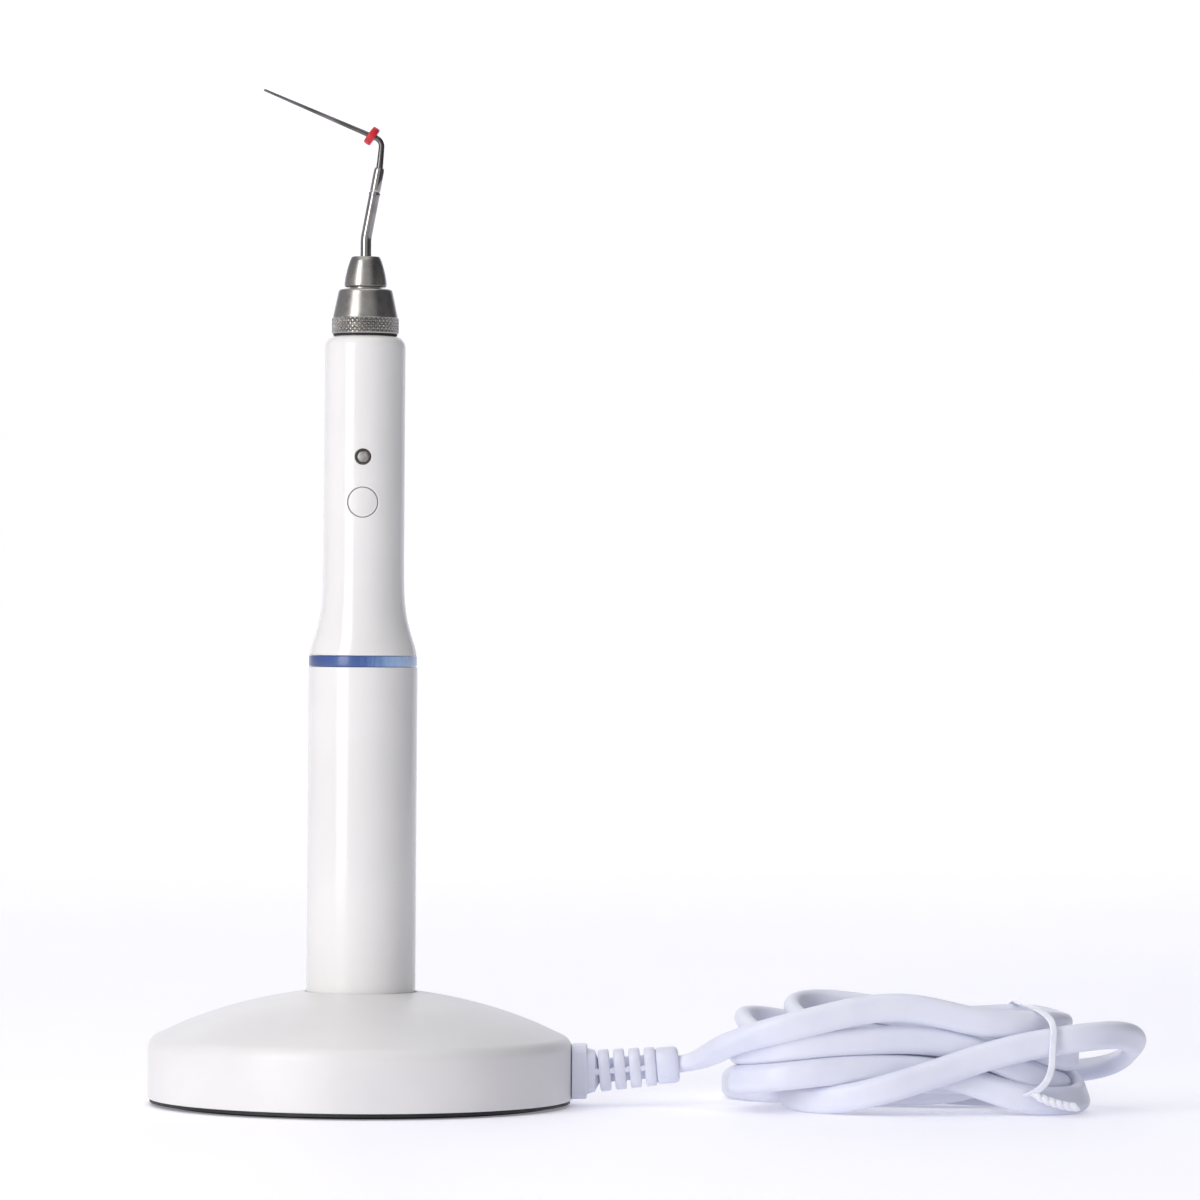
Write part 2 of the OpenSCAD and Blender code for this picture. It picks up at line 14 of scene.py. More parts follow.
import bpy
import numpy as np
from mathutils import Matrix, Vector


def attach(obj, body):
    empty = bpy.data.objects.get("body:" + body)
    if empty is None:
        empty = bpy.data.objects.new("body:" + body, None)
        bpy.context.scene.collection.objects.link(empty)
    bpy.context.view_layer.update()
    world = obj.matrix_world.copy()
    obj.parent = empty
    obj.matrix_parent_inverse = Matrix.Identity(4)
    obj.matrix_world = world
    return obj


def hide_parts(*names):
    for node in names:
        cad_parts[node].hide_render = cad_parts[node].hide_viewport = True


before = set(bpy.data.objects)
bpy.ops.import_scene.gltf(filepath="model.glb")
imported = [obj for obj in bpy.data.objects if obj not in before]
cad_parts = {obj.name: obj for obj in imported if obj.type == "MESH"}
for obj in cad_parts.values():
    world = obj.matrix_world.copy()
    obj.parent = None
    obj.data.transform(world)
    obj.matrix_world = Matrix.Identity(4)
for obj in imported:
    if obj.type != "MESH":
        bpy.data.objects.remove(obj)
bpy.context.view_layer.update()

MM = 0.001
SHARP_ANGLE = math.radians(38)
FULL_TURN = 2 * math.pi

log = logging.getLogger("pen")

Tree = bpy.types.NodeTree
Socket = bpy.types.NodeSocket
Piece = bpy.types.Object


# ---------------------------------------------------------------- meshes

class Skin:
    """Points and faces of one piece, gathered surface by surface, in millimetres."""

    def __init__(self) -> None:
        """Start empty."""
        self.points: list[np.ndarray] = []
        self.faces: list[np.ndarray] = []
        self.uvs: list[np.ndarray] = []
        self.count = 0

    def rows(self, grid: np.ndarray) -> np.ndarray:
        """Add the points of a grid.

        Args:
            grid: positions, shaped (rows, columns, 3).

        Returns:
            The points' numbers, shaped (rows, columns).
        """
        flat = np.asarray(grid, float).reshape(-1, 3)
        numbers = self.count + np.arange(len(flat)).reshape(grid.shape[:2])
        self.points.append(flat)
        self.count += len(flat)
        return numbers

    def weave(self, numbers: np.ndarray, wrap_columns: bool = True, wrap_rows: bool = False,
              keep: np.ndarray | None = None) -> None:
        """Add the faces between neighbouring points of a grid; repeated corners give triangles.

        Args:
            numbers: point numbers, shaped (rows, columns).
            wrap_columns: whether the last column joins the first.
            wrap_rows: whether the last row joins the first.
            keep: which cells to make, shaped like the cells, or None for all.
        """
        below = numbers if wrap_rows else numbers[:-1]
        above = np.roll(numbers, -1, 0) if wrap_rows else numbers[1:]
        if wrap_columns:
            cells = np.stack([below, np.roll(below, -1, 1), np.roll(above, -1, 1), above], -1)
        else:
            cells = np.stack([below[:, :-1], below[:, 1:], above[:, 1:], above[:, :-1]], -1)
        quads = cells.reshape(-1, 4) if keep is None else cells[keep]
        same = quads == np.roll(quads, -1, 1)
        self.faces.append(quads[~same.any(1)])
        for corner in range(4):
            pinched = quads[same[:, corner] & (same.sum(1) == 1)]
            self.faces.append(np.delete(pinched, corner, 1))

    def close(self, ring: np.ndarray, centre: Sequence[float]) -> None:
        """Close a ring of point numbers with a fan to a centre point."""
        middle = self.rows(np.array(centre, float).reshape(1, 1, 3))
        self.weave(np.stack([ring, np.full_like(ring, middle[0, 0])]))

    def piece(self, name: str, sharp: float = SHARP_ANGLE) -> Piece:
        """Make the object, with its faces outwards and smooth but for sharp edges.

        Args:
            name: the piece's name.
            sharp: angle between two faces past which their edge stays sharp, in radians.

        Returns:
            The object, at the origin, with its place in its mesh.
        """
        points = np.concatenate(self.points) * MM
        blocks = [b for b in self.faces if len(b)]
        fans = [np.stack([b[:, 0], b[:, k], b[:, k + 1]], 1)
                for b in blocks for k in range(1, b.shape[1] - 1)]
        corner = points[np.concatenate(fans)]
        volume = np.einsum("ij,ij->", corner[:, 0], np.cross(corner[:, 1], corner[:, 2]))
        if volume < 0:
            blocks = [b[:, ::-1] for b in blocks]
        sizes = np.concatenate([np.full(len(b), b.shape[1]) for b in blocks])
        corners = np.concatenate([b.ravel() for b in blocks])
        mesh = bpy.data.meshes.new(name)
        mesh.vertices.add(len(points))
        mesh.vertices.foreach_set("co", points.ravel())
        mesh.loops.add(len(corners))
        mesh.loops.foreach_set("vertex_index", corners.astype(np.int32))
        mesh.polygons.add(len(sizes))
        starts = np.concatenate([[0], np.cumsum(sizes)[:-1]])
        mesh.polygons.foreach_set("loop_start", starts.astype(np.int32))
        mesh.polygons.foreach_set("use_smooth", np.ones(len(sizes), bool))
        if self.uvs:
            layer = mesh.uv_layers.new(name="along")
            along = np.concatenate(self.uvs)[corners].astype(np.float32)
            layer.data.foreach_set("uv", along.ravel())
        mesh.update(calc_edges=True)
        mesh.validate()
        mesh.set_sharp_from_angle(angle=sharp)
        made = bpy.data.objects.new(name, mesh)
        bpy.context.scene.collection.objects.link(made)
        return made


def rounded(corners: Sequence[tuple[float, float, float]], steps: int = 5) -> np.ndarray:
    """Profile through the corners, each cut by an arc that touches both its sides.

    A corner p with radius k between unit directions u and v has its arc from p + tu to p + tv,
    with t = k / tan(half the angle between them).

    Args:
        corners: (radius from the axis, height, rounding radius) of each corner.
        steps: spans in each arc.

    Returns:
        The profile's (radius, height) points.
    """
    spots = np.array(corners, float)
    out: list[np.ndarray] = []
    for index, (r, z, k) in enumerate(spots):
        here = np.array([r, z])
        if k <= 0 or index in (0, len(spots) - 1):
            out.append(here[None])
            continue
        back, ahead = spots[index - 1, :2] - here, spots[index + 1, :2] - here
        room = 0.49 * min(np.linalg.norm(back), np.linalg.norm(ahead))
        u, v = back / np.linalg.norm(back), ahead / np.linalg.norm(ahead)
        half = math.acos(np.clip(u @ v, -1, 1)) / 2
        reach = min(k / math.tan(half), room)
        share = np.linspace(0, 1, steps + 1)[:, None]
        start, end = here + u * reach, here + v * reach
        middle = here + (u + v) / np.linalg.norm(u + v) * reach / math.cos(half)
        spread = math.pi - 2 * half
        arc = (np.sin((1 - share) * spread) * (start - middle)
               + np.sin(share * spread) * (end - middle))
        out.append(middle + arc / math.sin(spread))
    return np.concatenate(out)


def turned(profile: np.ndarray, columns: int) -> np.ndarray:
    """Carry a profile round the Z axis: (r, z) at turn a goes to (r cos a, r sin a, z).

    Args:
        profile: (radius, height) points.
        columns: steps in the full turn.

    Returns:
        The grid, shaped (profile points, columns, 3).
    """
    a = np.arange(columns) * FULL_TURN / columns
    r, z = profile[:, :1], profile[:, 1:]
    return np.stack([r * np.cos(a), r * np.sin(a), z + 0 * a], -1)


def add_turned(skin: Skin, profile: np.ndarray, columns: int, loop: bool = False,
               place: Callable[[np.ndarray], np.ndarray] | None = None) -> None:
    """Add a turned shape to a skin; a profile end on the axis closes in a pole.

    Args:
        skin: where it goes.
        profile: (radius, height) points.
        columns: steps in the full turn.
        loop: whether the profile's last point joins its first, as in a ring.
        place: moves the finished grid into place, or None.
    """
    grid = turned(profile, columns)
    if place:
        grid = place(grid)
    numbers = skin.rows(grid)
    poles = profile[:, 0] < 1e-6
    numbers[poles] = numbers[poles][:, :1]
    skin.weave(numbers, wrap_rows=loop)


def frames_along(path: np.ndarray, roll: np.ndarray) -> tuple[np.ndarray, np.ndarray]:
    """Two cross directions at each point of a path.

    The upright one is square to the path in its vertical plane, the level one is horizontal, and
    both are rolled about the path by the given angle.

    Args:
        path: points, shaped (n, 3).
        roll: angle at each point, in radians.

    Returns:
        The directions of the section's long side and of its short side, each shaped (n, 3).
    """
    ahead = np.gradient(path, axis=0)
    ahead /= np.linalg.norm(ahead, axis=1)[:, None]
    level = np.cross(ahead, [0.0, 0.0, 1.0])
    level /= np.linalg.norm(level, axis=1)[:, None]
    upright = np.cross(level, ahead)
    c, s = np.cos(roll)[:, None], np.sin(roll)[:, None]
    return upright * c + level * s, level * c - upright * s


def add_swept(skin: Skin, path: np.ndarray, wide: np.ndarray, flat: np.ndarray,
              sections: np.ndarray) -> np.ndarray:
    """Add a closed surface: a section carried along a path, with both ends closed.

    Args:
        skin: where it goes.
        path: centre of each section, shaped (n, 3).
        wide: direction of a section's first coordinate at each point.
        flat: direction of a section's second coordinate at each point.
        sections: (first, second) coordinates, shaped (n, m, 2) or (m, 2).

    Returns:
        The point numbers, shaped (n, m).
    """
    sections = np.broadcast_to(sections, (len(path), *sections.shape[-2:]))
    grid = path[:, None] + wide[:, None] * sections[..., :1] + flat[:, None] * sections[..., 1:]
    numbers = skin.rows(grid)
    skin.weave(numbers)
    skin.close(numbers[0][::-1], path[0])
    skin.close(numbers[-1], path[-1])
    return numbers


def box_section(a: np.ndarray, b: np.ndarray, power: np.ndarray | float, count: int) -> np.ndarray:
    """Polar radius of a rounded box: (|cos/a|^p + |sin/b|^p)^(-1/p), squarer for a larger p.

    Args:
        a: half size along the section's first direction, at each station.
        b: half size along its second.
        power: the exponent p.
        count: points round the section.

    Returns:
        Radii, shaped (stations, count).
    """
    angle = (np.arange(count) + 0.5) * FULL_TURN / count
    a, b = np.atleast_1d(a)[:, None], np.atleast_1d(b)[:, None]
    p = np.atleast_1d(power)[:, None]
    return (np.abs(np.cos(angle) / a) ** p + np.abs(np.sin(angle) / b) ** p) ** (-1 / p)


def polar(radii: np.ndarray) -> np.ndarray:
    """Turn polar radii, shaped (stations, m), into section coordinates (stations, m, 2)."""
    angle = (np.arange(radii.shape[1]) + 0.5) * FULL_TURN / radii.shape[1]
    return np.stack([radii * np.cos(angle), radii * np.sin(angle)], -1)


# ---------------------------------------------------------------- finishes

def linear(colour: str) -> tuple[float, float, float, float]:
    """Turn an sRGB hex colour such as "#f2f1ee" into linear red, green, blue and alpha."""
    levels = np.array([int(colour[i:i + 2], 16) for i in (1, 3, 5)]) / 255
    spread = np.where(levels <= 0.04045, levels / 12.92, ((levels + 0.055) / 1.055) ** 2.4)
    return (*(float(level) for level in spread), 1.0)


def node(tree: Tree, kind: str, inputs: dict[str | int, object] | None = None,
         **settings: object) -> bpy.types.Node:
    """Add a node, with its settings, its socket values and its links.

    Args:
        tree: where it goes.
        kind: the node's type, such as "ShaderNodeTexNoise".
        inputs: a value or another node's output for each named or numbered socket.
        settings: the node's own properties.

    Returns:
        The node.
    """
    made = tree.nodes.new(kind)
    for name, value in settings.items():
        setattr(made, name, value)
    for name, value in (inputs or {}).items():
        if isinstance(value, Socket):
            tree.links.new(value, made.inputs[name])
        else:
            made.inputs[name].default_value = value
    return made


def ramp(tree: Tree, factor: Socket,
         stops: Sequence[tuple[float, str]]) -> Socket:
    """Colour output that runs through the stops, each (place from 0 to 1, sRGB hex)."""
    made = node(tree, "ShaderNodeValToRGB", {"Fac": factor})
    elements = made.color_ramp.elements
    for element, (place, colour) in ((elements[0], stops[0]), (elements[1], stops[-1])):
        element.position, element.color = place, linear(colour)
    for place, colour in stops[1:-1]:
        elements.new(place).color = linear(colour)
    return made.outputs["Color"]


def per_metre(size_mm: float) -> float:
    """Texture scale at which a pattern repeats about every size_mm millimetres."""
    return 1 / (size_mm * MM)


class Lay(Enum):
    """Which way a surface's fine tool lines run."""

    AROUND = (0.02, 0.02, 1.0)
    LENGTHWISE = (1.0, 1.0, 0.02)
    NONE = (1.0, 1.0, 1.0)


@dataclass(frozen=True)
class Finish:
    """A procedural finish: a base colour that varies a little, with roughness and relief."""

    name: str
    slot: str
    colour: str
    second: str
    roughness: float
    rough_change: float = 0.06
    metallic: float = 0.0
    patch_mm: float = 18.0
    grain_mm: float = 0.6
    grain_depth_mm: float = 0.01
    lay: Lay = Lay.NONE
    coat: float = 0.0
    sheen: float = 0.0
    clear: float = 0.0
    glow: float = 0.0
    soft: float = 0.0

    def colour_socket(self, tree: Tree, place: Socket) -> Socket:
        """Base colour: broad, faint cloudiness between the finish's two colours.

        Args:
            tree: the material's nodes.
            place: Object coordinates.

        Returns:
            The colour output.
        """
        cloud = node(tree, "ShaderNodeTexNoise",
                     {"Vector": place, "Scale": per_metre(self.patch_mm), "Detail": 3.0})
        return ramp(tree, cloud.outputs["Fac"], [(0.35, self.colour), (0.65, self.second)])

    def relief_socket(self, tree: Tree, place: Socket) -> Socket:
        """Height of the surface's fine grain or tool lines, from 0 to 1.

        Args:
            tree: the material's nodes.
            place: Object coordinates.

        Returns:
            The height output.
        """
        stretched = node(tree, "ShaderNodeMapping", {"Vector": place, "Scale": self.lay.value})
        grain = node(tree, "ShaderNodeTexNoise",
                     {"Vector": stretched.outputs[0], "Scale": per_metre(self.grain_mm),
                      "Detail": 4.0})
        return grain.outputs["Fac"]

    def material(self) -> bpy.types.Material:
        """The finish's material, made once and then shared."""
        if self.name in bpy.data.materials:
            return bpy.data.materials[self.name]
        made = bpy.data.materials.new(self.name)
        made.use_nodes = True
        tree = made.node_tree
        tree.nodes.clear()
        place = node(tree, "ShaderNodeTexCoord").outputs["Object"]
        height = self.relief_socket(tree, place)
        wear = node(tree, "ShaderNodeTexNoise",
                    {"Vector": place, "Scale": per_metre(self.patch_mm / 3), "Detail": 5.0})
        low, high = self.roughness - self.rough_change, self.roughness + self.rough_change
        rough = node(tree, "ShaderNodeMapRange",
                     {"Value": wear.outputs["Fac"], "From Min": 0.3, "From Max": 0.7,
                      "To Min": max(low, 0.02), "To Max": high})
        bump = node(tree, "ShaderNodeBump",
                    {"Height": height, "Distance": self.grain_depth_mm * MM})
        shader = node(tree, "ShaderNodeBsdfPrincipled", {
            "Base Color": self.colour_socket(tree, place), "Roughness": rough.outputs[0],
            "Metallic": self.metallic, "Normal": bump.outputs[0], "Coat Weight": self.coat,
            "Coat Roughness": 0.06, "Sheen Weight": self.sheen, "Transmission Weight": self.clear,
            "Subsurface Weight": self.soft, "Subsurface Radius": (0.6, 0.55, 0.6),
            "Subsurface Scale": 0.0015})
        if self.glow:
            shader.inputs["Emission Color"].default_value = linear(self.second)
            shader.inputs["Emission Strength"].default_value = self.glow
        node(tree, "ShaderNodeOutputMaterial", {"Surface": shader.outputs[0]})
        return made

    def dress(self, piece: Piece) -> None:
        """Put the finish on a new piece or in a CAD node's own slots."""
        if piece.data.materials:
            for number in range(len(piece.data.materials)):
                piece.material_slots[number].link = "OBJECT"
                piece.material_slots[number].material = self.material()
        else:
            piece.data.materials.append(self.material())


@dataclass(frozen=True)
class RingLens(Finish):
    """Frosted blue polycarbonate light guide, with painted shade in deep blue at one side and a
    painted lit side in pale blue at the other.
    """

    painted_shade_blue: str = "#334f8c"
    painted_lit_blue: str = "#9db8dc"
    half_width_mm: float = 11.5

    def colour_socket(self, tree: Tree, place: Socket) -> Socket:
        """Base colour with painted light: runs from painted shade, deep blue at -X, to a painted
        lit side, pale blue at +X, with fine moulded streaks.
        """
        split = node(tree, "ShaderNodeSeparateXYZ", {"Vector": place})
        streak = node(tree, "ShaderNodeTexNoise",
                      {"Vector": node(tree, "ShaderNodeMapping",
                                      {"Vector": place, "Scale": (1.0, 1.0, 0.1)}).outputs[0],
                       "Scale": per_metre(0.8), "Detail": 3.0})
        across = node(tree, "ShaderNodeMapRange",
                      {"Value": split.outputs["X"], "From Min": -self.half_width_mm * MM,
                       "From Max": self.half_width_mm * MM})
        mixed = node(tree, "ShaderNodeMath",
                     {0: streak.outputs["Fac"], 1: 0.16, 2: across.outputs[0]},
                     operation="MULTIPLY_ADD")
        # the ramp across X paints shade at -X and a lit side at +X into the colour
        return ramp(tree, mixed.outputs[0],
                    [(0.0, "#26314e"), (0.12, "#36497c"), (0.3, "#3c5590"), (0.58, self.painted_shade_blue),
                     (0.7, "#5a78ac"), (0.88, self.painted_lit_blue), (1.0, "#b4c8e6")])


@dataclass(frozen=True)
class ExtrudedSheath(Finish):
    """Soft PVC sheath drawn through a die: faint lines along its length, slightly cloudy."""

    line_mm: float = 0.5

    def relief_socket(self, tree: Tree, place: Socket) -> Socket:
        """Height from the die lines, on the piece's UV: u round the cord, v along it, in mm."""
        along = node(tree, "ShaderNodeUVMap", uv_map="along").outputs[0]
        stretched = node(tree, "ShaderNodeMapping",
                         {"Vector": along, "Scale": (1 / self.line_mm, 0.02, 1.0)})
        lines = node(tree, "ShaderNodeTexNoise",
                     {"Vector": stretched.outputs[0], "Scale": 1.0, "Detail": 2.0})
        dimple = node(tree, "ShaderNodeTexNoise",
                      {"Vector": place, "Scale": per_metre(self.grain_mm)})
        return node(tree, "ShaderNodeMath",
                    {0: dimple.outputs["Fac"], 1: 0.6, 2: lines.outputs["Fac"]},
                    operation="MULTIPLY_ADD").outputs[0]


@dataclass(frozen=True)
class BoardMask(Finish):
    """Green solder mask over copper tracks, which show as lighter, slightly raised lines."""

    track_mm: float = 1.4

    def colour_socket(self, tree: Tree, place: Socket) -> Socket:
        """Base colour: tracks along the edges of a cell pattern, on the darker mask."""
        cells = node(tree, "ShaderNodeTexVoronoi",
                     {"Vector": place, "Scale": per_metre(self.track_mm)},
                     feature="F2", distance="CHEBYCHEV")
        return ramp(tree, cells.outputs["Distance"], [(0.55, self.colour), (0.7, self.second)])


@dataclass(frozen=True)
class WoundTape(Finish):
    """Polyester winding tape: overlapping layers whose edges show as darker bands."""

    band_mm: float = 1.6

    def colour_socket(self, tree: Tree, place: Socket) -> Socket:
        """Base colour: level bands up the winding, between the two colours."""
        bands = node(tree, "ShaderNodeTexWave",
                     {"Vector": place, "Scale": per_metre(self.band_mm) / FULL_TURN,
                      "Distortion": 0.6},
                     bands_direction="Z", wave_profile="SAW")
        return ramp(tree, bands.outputs["Fac"], [(0.1, self.second), (0.4, self.colour)])


# Injection-moulded ABS from a polished mould: bright, clean highlights over a very faint ripple.
PEN_ABS = Finish("abs_polished_white_pen", "white_gloss", "#ecebe9", "#e6e5e3", 0.16, 0.03,
                 patch_mm=30, grain_mm=4.0, grain_depth_mm=0.006, coat=0.12)
# The same ABS, from a less polished mould: highlights are wider and softer on the base.
BASE_ABS = Finish("abs_moulded_white_base", "white_gloss", "#e9e8e7", "#e3e2e2", 0.36, 0.02,
                  patch_mm=26, grain_mm=1.2, grain_depth_mm=0.004)
# Fine-textured ABS, which keeps the button and the inner trim from shining.
TRIM_ABS = Finish("abs_satin_white_trim", "white_satin", "#e8e7e5", "#e2e1df", 0.38, 0.05,
                  patch_mm=10, grain_mm=0.35, grain_depth_mm=0.008)
# Black glass-filled nylon: dull, with an even spark-eroded texture.
BLACK_NYLON = Finish("nylon_textured_black", "black_plastic", "#17181a", "#202124", 0.55, 0.08,
                     patch_mm=9, grain_mm=0.4, grain_depth_mm=0.02)
# Moulded nitrile rubber: dead matt, dusty grey in patches.
FOOT_RUBBER = Finish("rubber_moulded_black", "black_rubber", "#151515", "#26252a", 0.8, 0.08,
                     patch_mm=6, grain_mm=0.5, grain_depth_mm=0.03, sheen=0.1)
# Zinc-plated steel screws and springs: pale grey, slightly uneven.
PLATED_STEEL = Finish("steel_zinc_plated", "steel", "#b4b2b0", "#9c9a9b", 0.34, 0.06, metallic=1.0,
                      patch_mm=3, grain_mm=0.3, grain_depth_mm=0.004)
# Polished stainless tube: mirror bright, with hair-fine draw lines along it.
POLISHED_TUBE = Finish("stainless_drawn_polished", "steel_bright", "#c0bebb", "#a8a6a3", 0.08, 0.03,
                       metallic=1.0, patch_mm=4, grain_mm=0.12, grain_depth_mm=0.0008,
                       lay=Lay.LENGTHWISE)
# Stainless wire ground to a taper: darker and duller than the tube, with a soft streak along it.
GROUND_WIRE = Finish("stainless_ground_wire", "steel_bright", "#7f7c79", "#64615f", 0.24, 0.05,
                     metallic=1.0, patch_mm=5, grain_mm=0.12, grain_depth_mm=0.001,
                     lay=Lay.LENGTHWISE)
# Stainless bar turned and bead-blasted: warm grey with a satin glow and faint rings round the axis.
TURNED_STEEL = Finish("stainless_turned_satin", "satin_steel", "#b6b3af", "#a29f9b", 0.3, 0.05,
                      metallic=1.0, patch_mm=5, grain_mm=0.16, grain_depth_mm=0.0016,
                      lay=Lay.AROUND)
# Grey cast iron left as cast: dark, pitted and rough.
CAST_IRON = Finish("iron_sand_cast", "dark_iron", "#4b4a4a", "#3a3838", 0.7, 0.1, metallic=0.7,
                   patch_mm=7, grain_mm=0.8, grain_depth_mm=0.12)
# Gold-plated brass contacts: warm yellow, bright where the pins rub.
GOLD_PLATE = Finish("brass_gold_plated", "gold_brass", "#d9b25c", "#c99e45", 0.24, 0.06,
                    metallic=1.0, patch_mm=2.5, grain_mm=0.15, grain_depth_mm=0.001, lay=Lay.AROUND)
# FR4 circuit board under solder mask.
SOLDER_MASK = BoardMask("fr4_green_solder_mask", "board_green", "#0f4a2a", "#2b7a47", 0.33, 0.06,
                        grain_mm=1.0, grain_depth_mm=0.02)
# Yellow polyester tape round the transformer.
COIL_TAPE = WoundTape("polyester_winding_tape", "winding_tape", "#d8b83a", "#a8882a", 0.3, 0.08,
                      grain_mm=0.5, grain_depth_mm=0.02)
# PVC sleeve shrunk on the capacitor's can: smooth and glossy.
CAN_SLEEVE = Finish("pvc_shrunk_capacitor_sleeve", "can_dark", "#26293f", "#1d2032", 0.22, 0.05,
                    patch_mm=5, grain_mm=1.0, grain_depth_mm=0.01, coat=0.3)
# Green polyamide terminal housing.
TERMINAL_NYLON = Finish("polyamide_green_terminal", "terminal_green", "#2f8a5c", "#27774f", 0.42,
                        0.06, patch_mm=4, grain_mm=0.4, grain_depth_mm=0.01)
# Silicone lead insulation: soft and slightly translucent.
LEAD_SILICONE = Finish("silicone_red_lead_sleeve", "lead_sleeve", "#8f3129", "#7a2822", 0.46, 0.06,
                       patch_mm=3, grain_mm=0.2, grain_depth_mm=0.006, soft=0.1)
# Flat cord's PVC sheath: cool white, soft sheen, faint lines along it.
SHEATH_PVC = ExtrudedSheath("pvc_extruded_flat_sheath", "cord_pvc", "#e9ebf7", "#e1e4f3", 0.36,
                            0.06,
                            patch_mm=12, grain_mm=0.5, grain_depth_mm=0.012, soft=0.12, sheen=0.05)
# The same PVC moulded over the cord, as relief and plug: a touch duller, with a fine mould texture.
MOULDED_PVC = Finish("pvc_moulded_relief", "cord_pvc", "#e6e8f5", "#dde0f0", 0.4, 0.06,
                     patch_mm=8, grain_mm=0.35, grain_depth_mm=0.015, soft=0.12)
# Clear-coated white twist tie: shiny film over a wire.
TIE_FILM = Finish("polyester_film_tie", "tie_white", "#eef0f8", "#e3e6f2", 0.2, 0.05,
                  patch_mm=3, grain_mm=0.4, grain_depth_mm=0.02, coat=0.5, soft=0.1)
# Plain PVC wrap shrunk on the cell.
CELL_WRAP = Finish("pvc_shrunk_cell_wrap", "cell_wrap", "#3f57a0", "#374d90", 0.24, 0.05,
                   patch_mm=14, grain_mm=1.5, grain_depth_mm=0.01, coat=0.3)
# Frosted polycarbonate ring over the lamps, its sides painted with shade at -X and light at +X.
RING_PC = RingLens("polycarbonate_frosted_blue_ring", "ring_blue", "#3a5fb0", "#4e79c8", 0.3, 0.05,
                   grain_mm=0.4, grain_depth_mm=0.006, coat=0.4, glow=0.05)
# Clear acrylic over an unlit lamp: grey, glassy, with the lamp's shadow in it.
LENS_ACRYLIC = Finish("acrylic_clear_lens", "lens_clear", "#d8d4d0", "#a39c98", 0.08, 0.02,
                      patch_mm=0.9, grain_mm=0.5, grain_depth_mm=0.01, clear=0.45, coat=0.6)
# Dark rim round the lens, which is painted shadow of the gap round it: dark brown-grey, satin.
GAP_SHADOW_RIM = Finish("abs_dark_rim_painted_gap_shadow", "bezel_dark", "#5b504b", "#473e3a", 0.32, 0.06,
                     patch_mm=1.5, grain_mm=0.2, grain_depth_mm=0.004)
# Pressed silicone rubber stop: saturated red with a soft bloom.
STOP_SILICONE = Finish("silicone_pressed_red_stop", "stop_red", "#cf1626", "#b90f1f", 0.36, 0.06,
                       patch_mm=1.2, grain_mm=0.25, grain_depth_mm=0.01, soft=0.15, coat=0.15)


def settle(piece: Piece, body: str, finish: Finish,
           stands_for: Sequence[str] = ()) -> Piece:
    """Dress a piece, let it ride on its body, and hide the CAD nodes that it stands for.

    Args:
        piece: the new piece.
        body: the CAD body it moves with.
        finish: its finish.
        stands_for: CAD nodes that it hides.

    Returns:
        The piece.
    """
    finish.dress(piece)
    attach(piece, body)
    if stands_for:
        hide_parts(*stands_for)
    log.info("%s on %s: %d faces, %s", piece.name, body, len(piece.data.polygons), finish.name)
    return piece


def settle_turned(name: str, profile: np.ndarray, columns: int, body: str, finish: Finish,
                  node_name: str, loop: bool = True,
                  place: Callable[[np.ndarray], np.ndarray] | None = None) -> Piece:
    """Turn one profile into a piece, and settle it.

    Args:
        name: the piece's name.
        profile, columns, loop, place: as for add_turned.
        body, finish: as for settle.
        node_name: the CAD node that it stands for.

    Returns:
        The piece.
    """
    skin = Skin()
    add_turned(skin, profile, columns, loop=loop, place=place)
    return settle(skin.piece(name), body, finish, (node_name,))


# ---------------------------------------------------------------- studio

@dataclass(frozen=True)
class Softbox:
    """A rectangular studio light that points at a spot on the object."""

    name: str
    place: tuple[float, float, float]
    target: tuple[float, float, float]
    width: float
    height: float
    watts: float
    colour: str = "#ffffff"

    def build(self) -> Piece:
        """Hang the light."""
        data = bpy.data.lights.new(self.name, "AREA")
        data.shape = "RECTANGLE"
        data.size, data.size_y = self.width, self.height
        data.energy = self.watts
        data.color = linear(self.colour)[:3]
        made = bpy.data.objects.new(self.name, data)
        made.location = self.place
        towards = Vector(self.target) - Vector(self.place)
        made.rotation_euler = towards.to_track_quat("-Z", "Y").to_euler()
        bpy.context.scene.collection.objects.link(made)
        return made


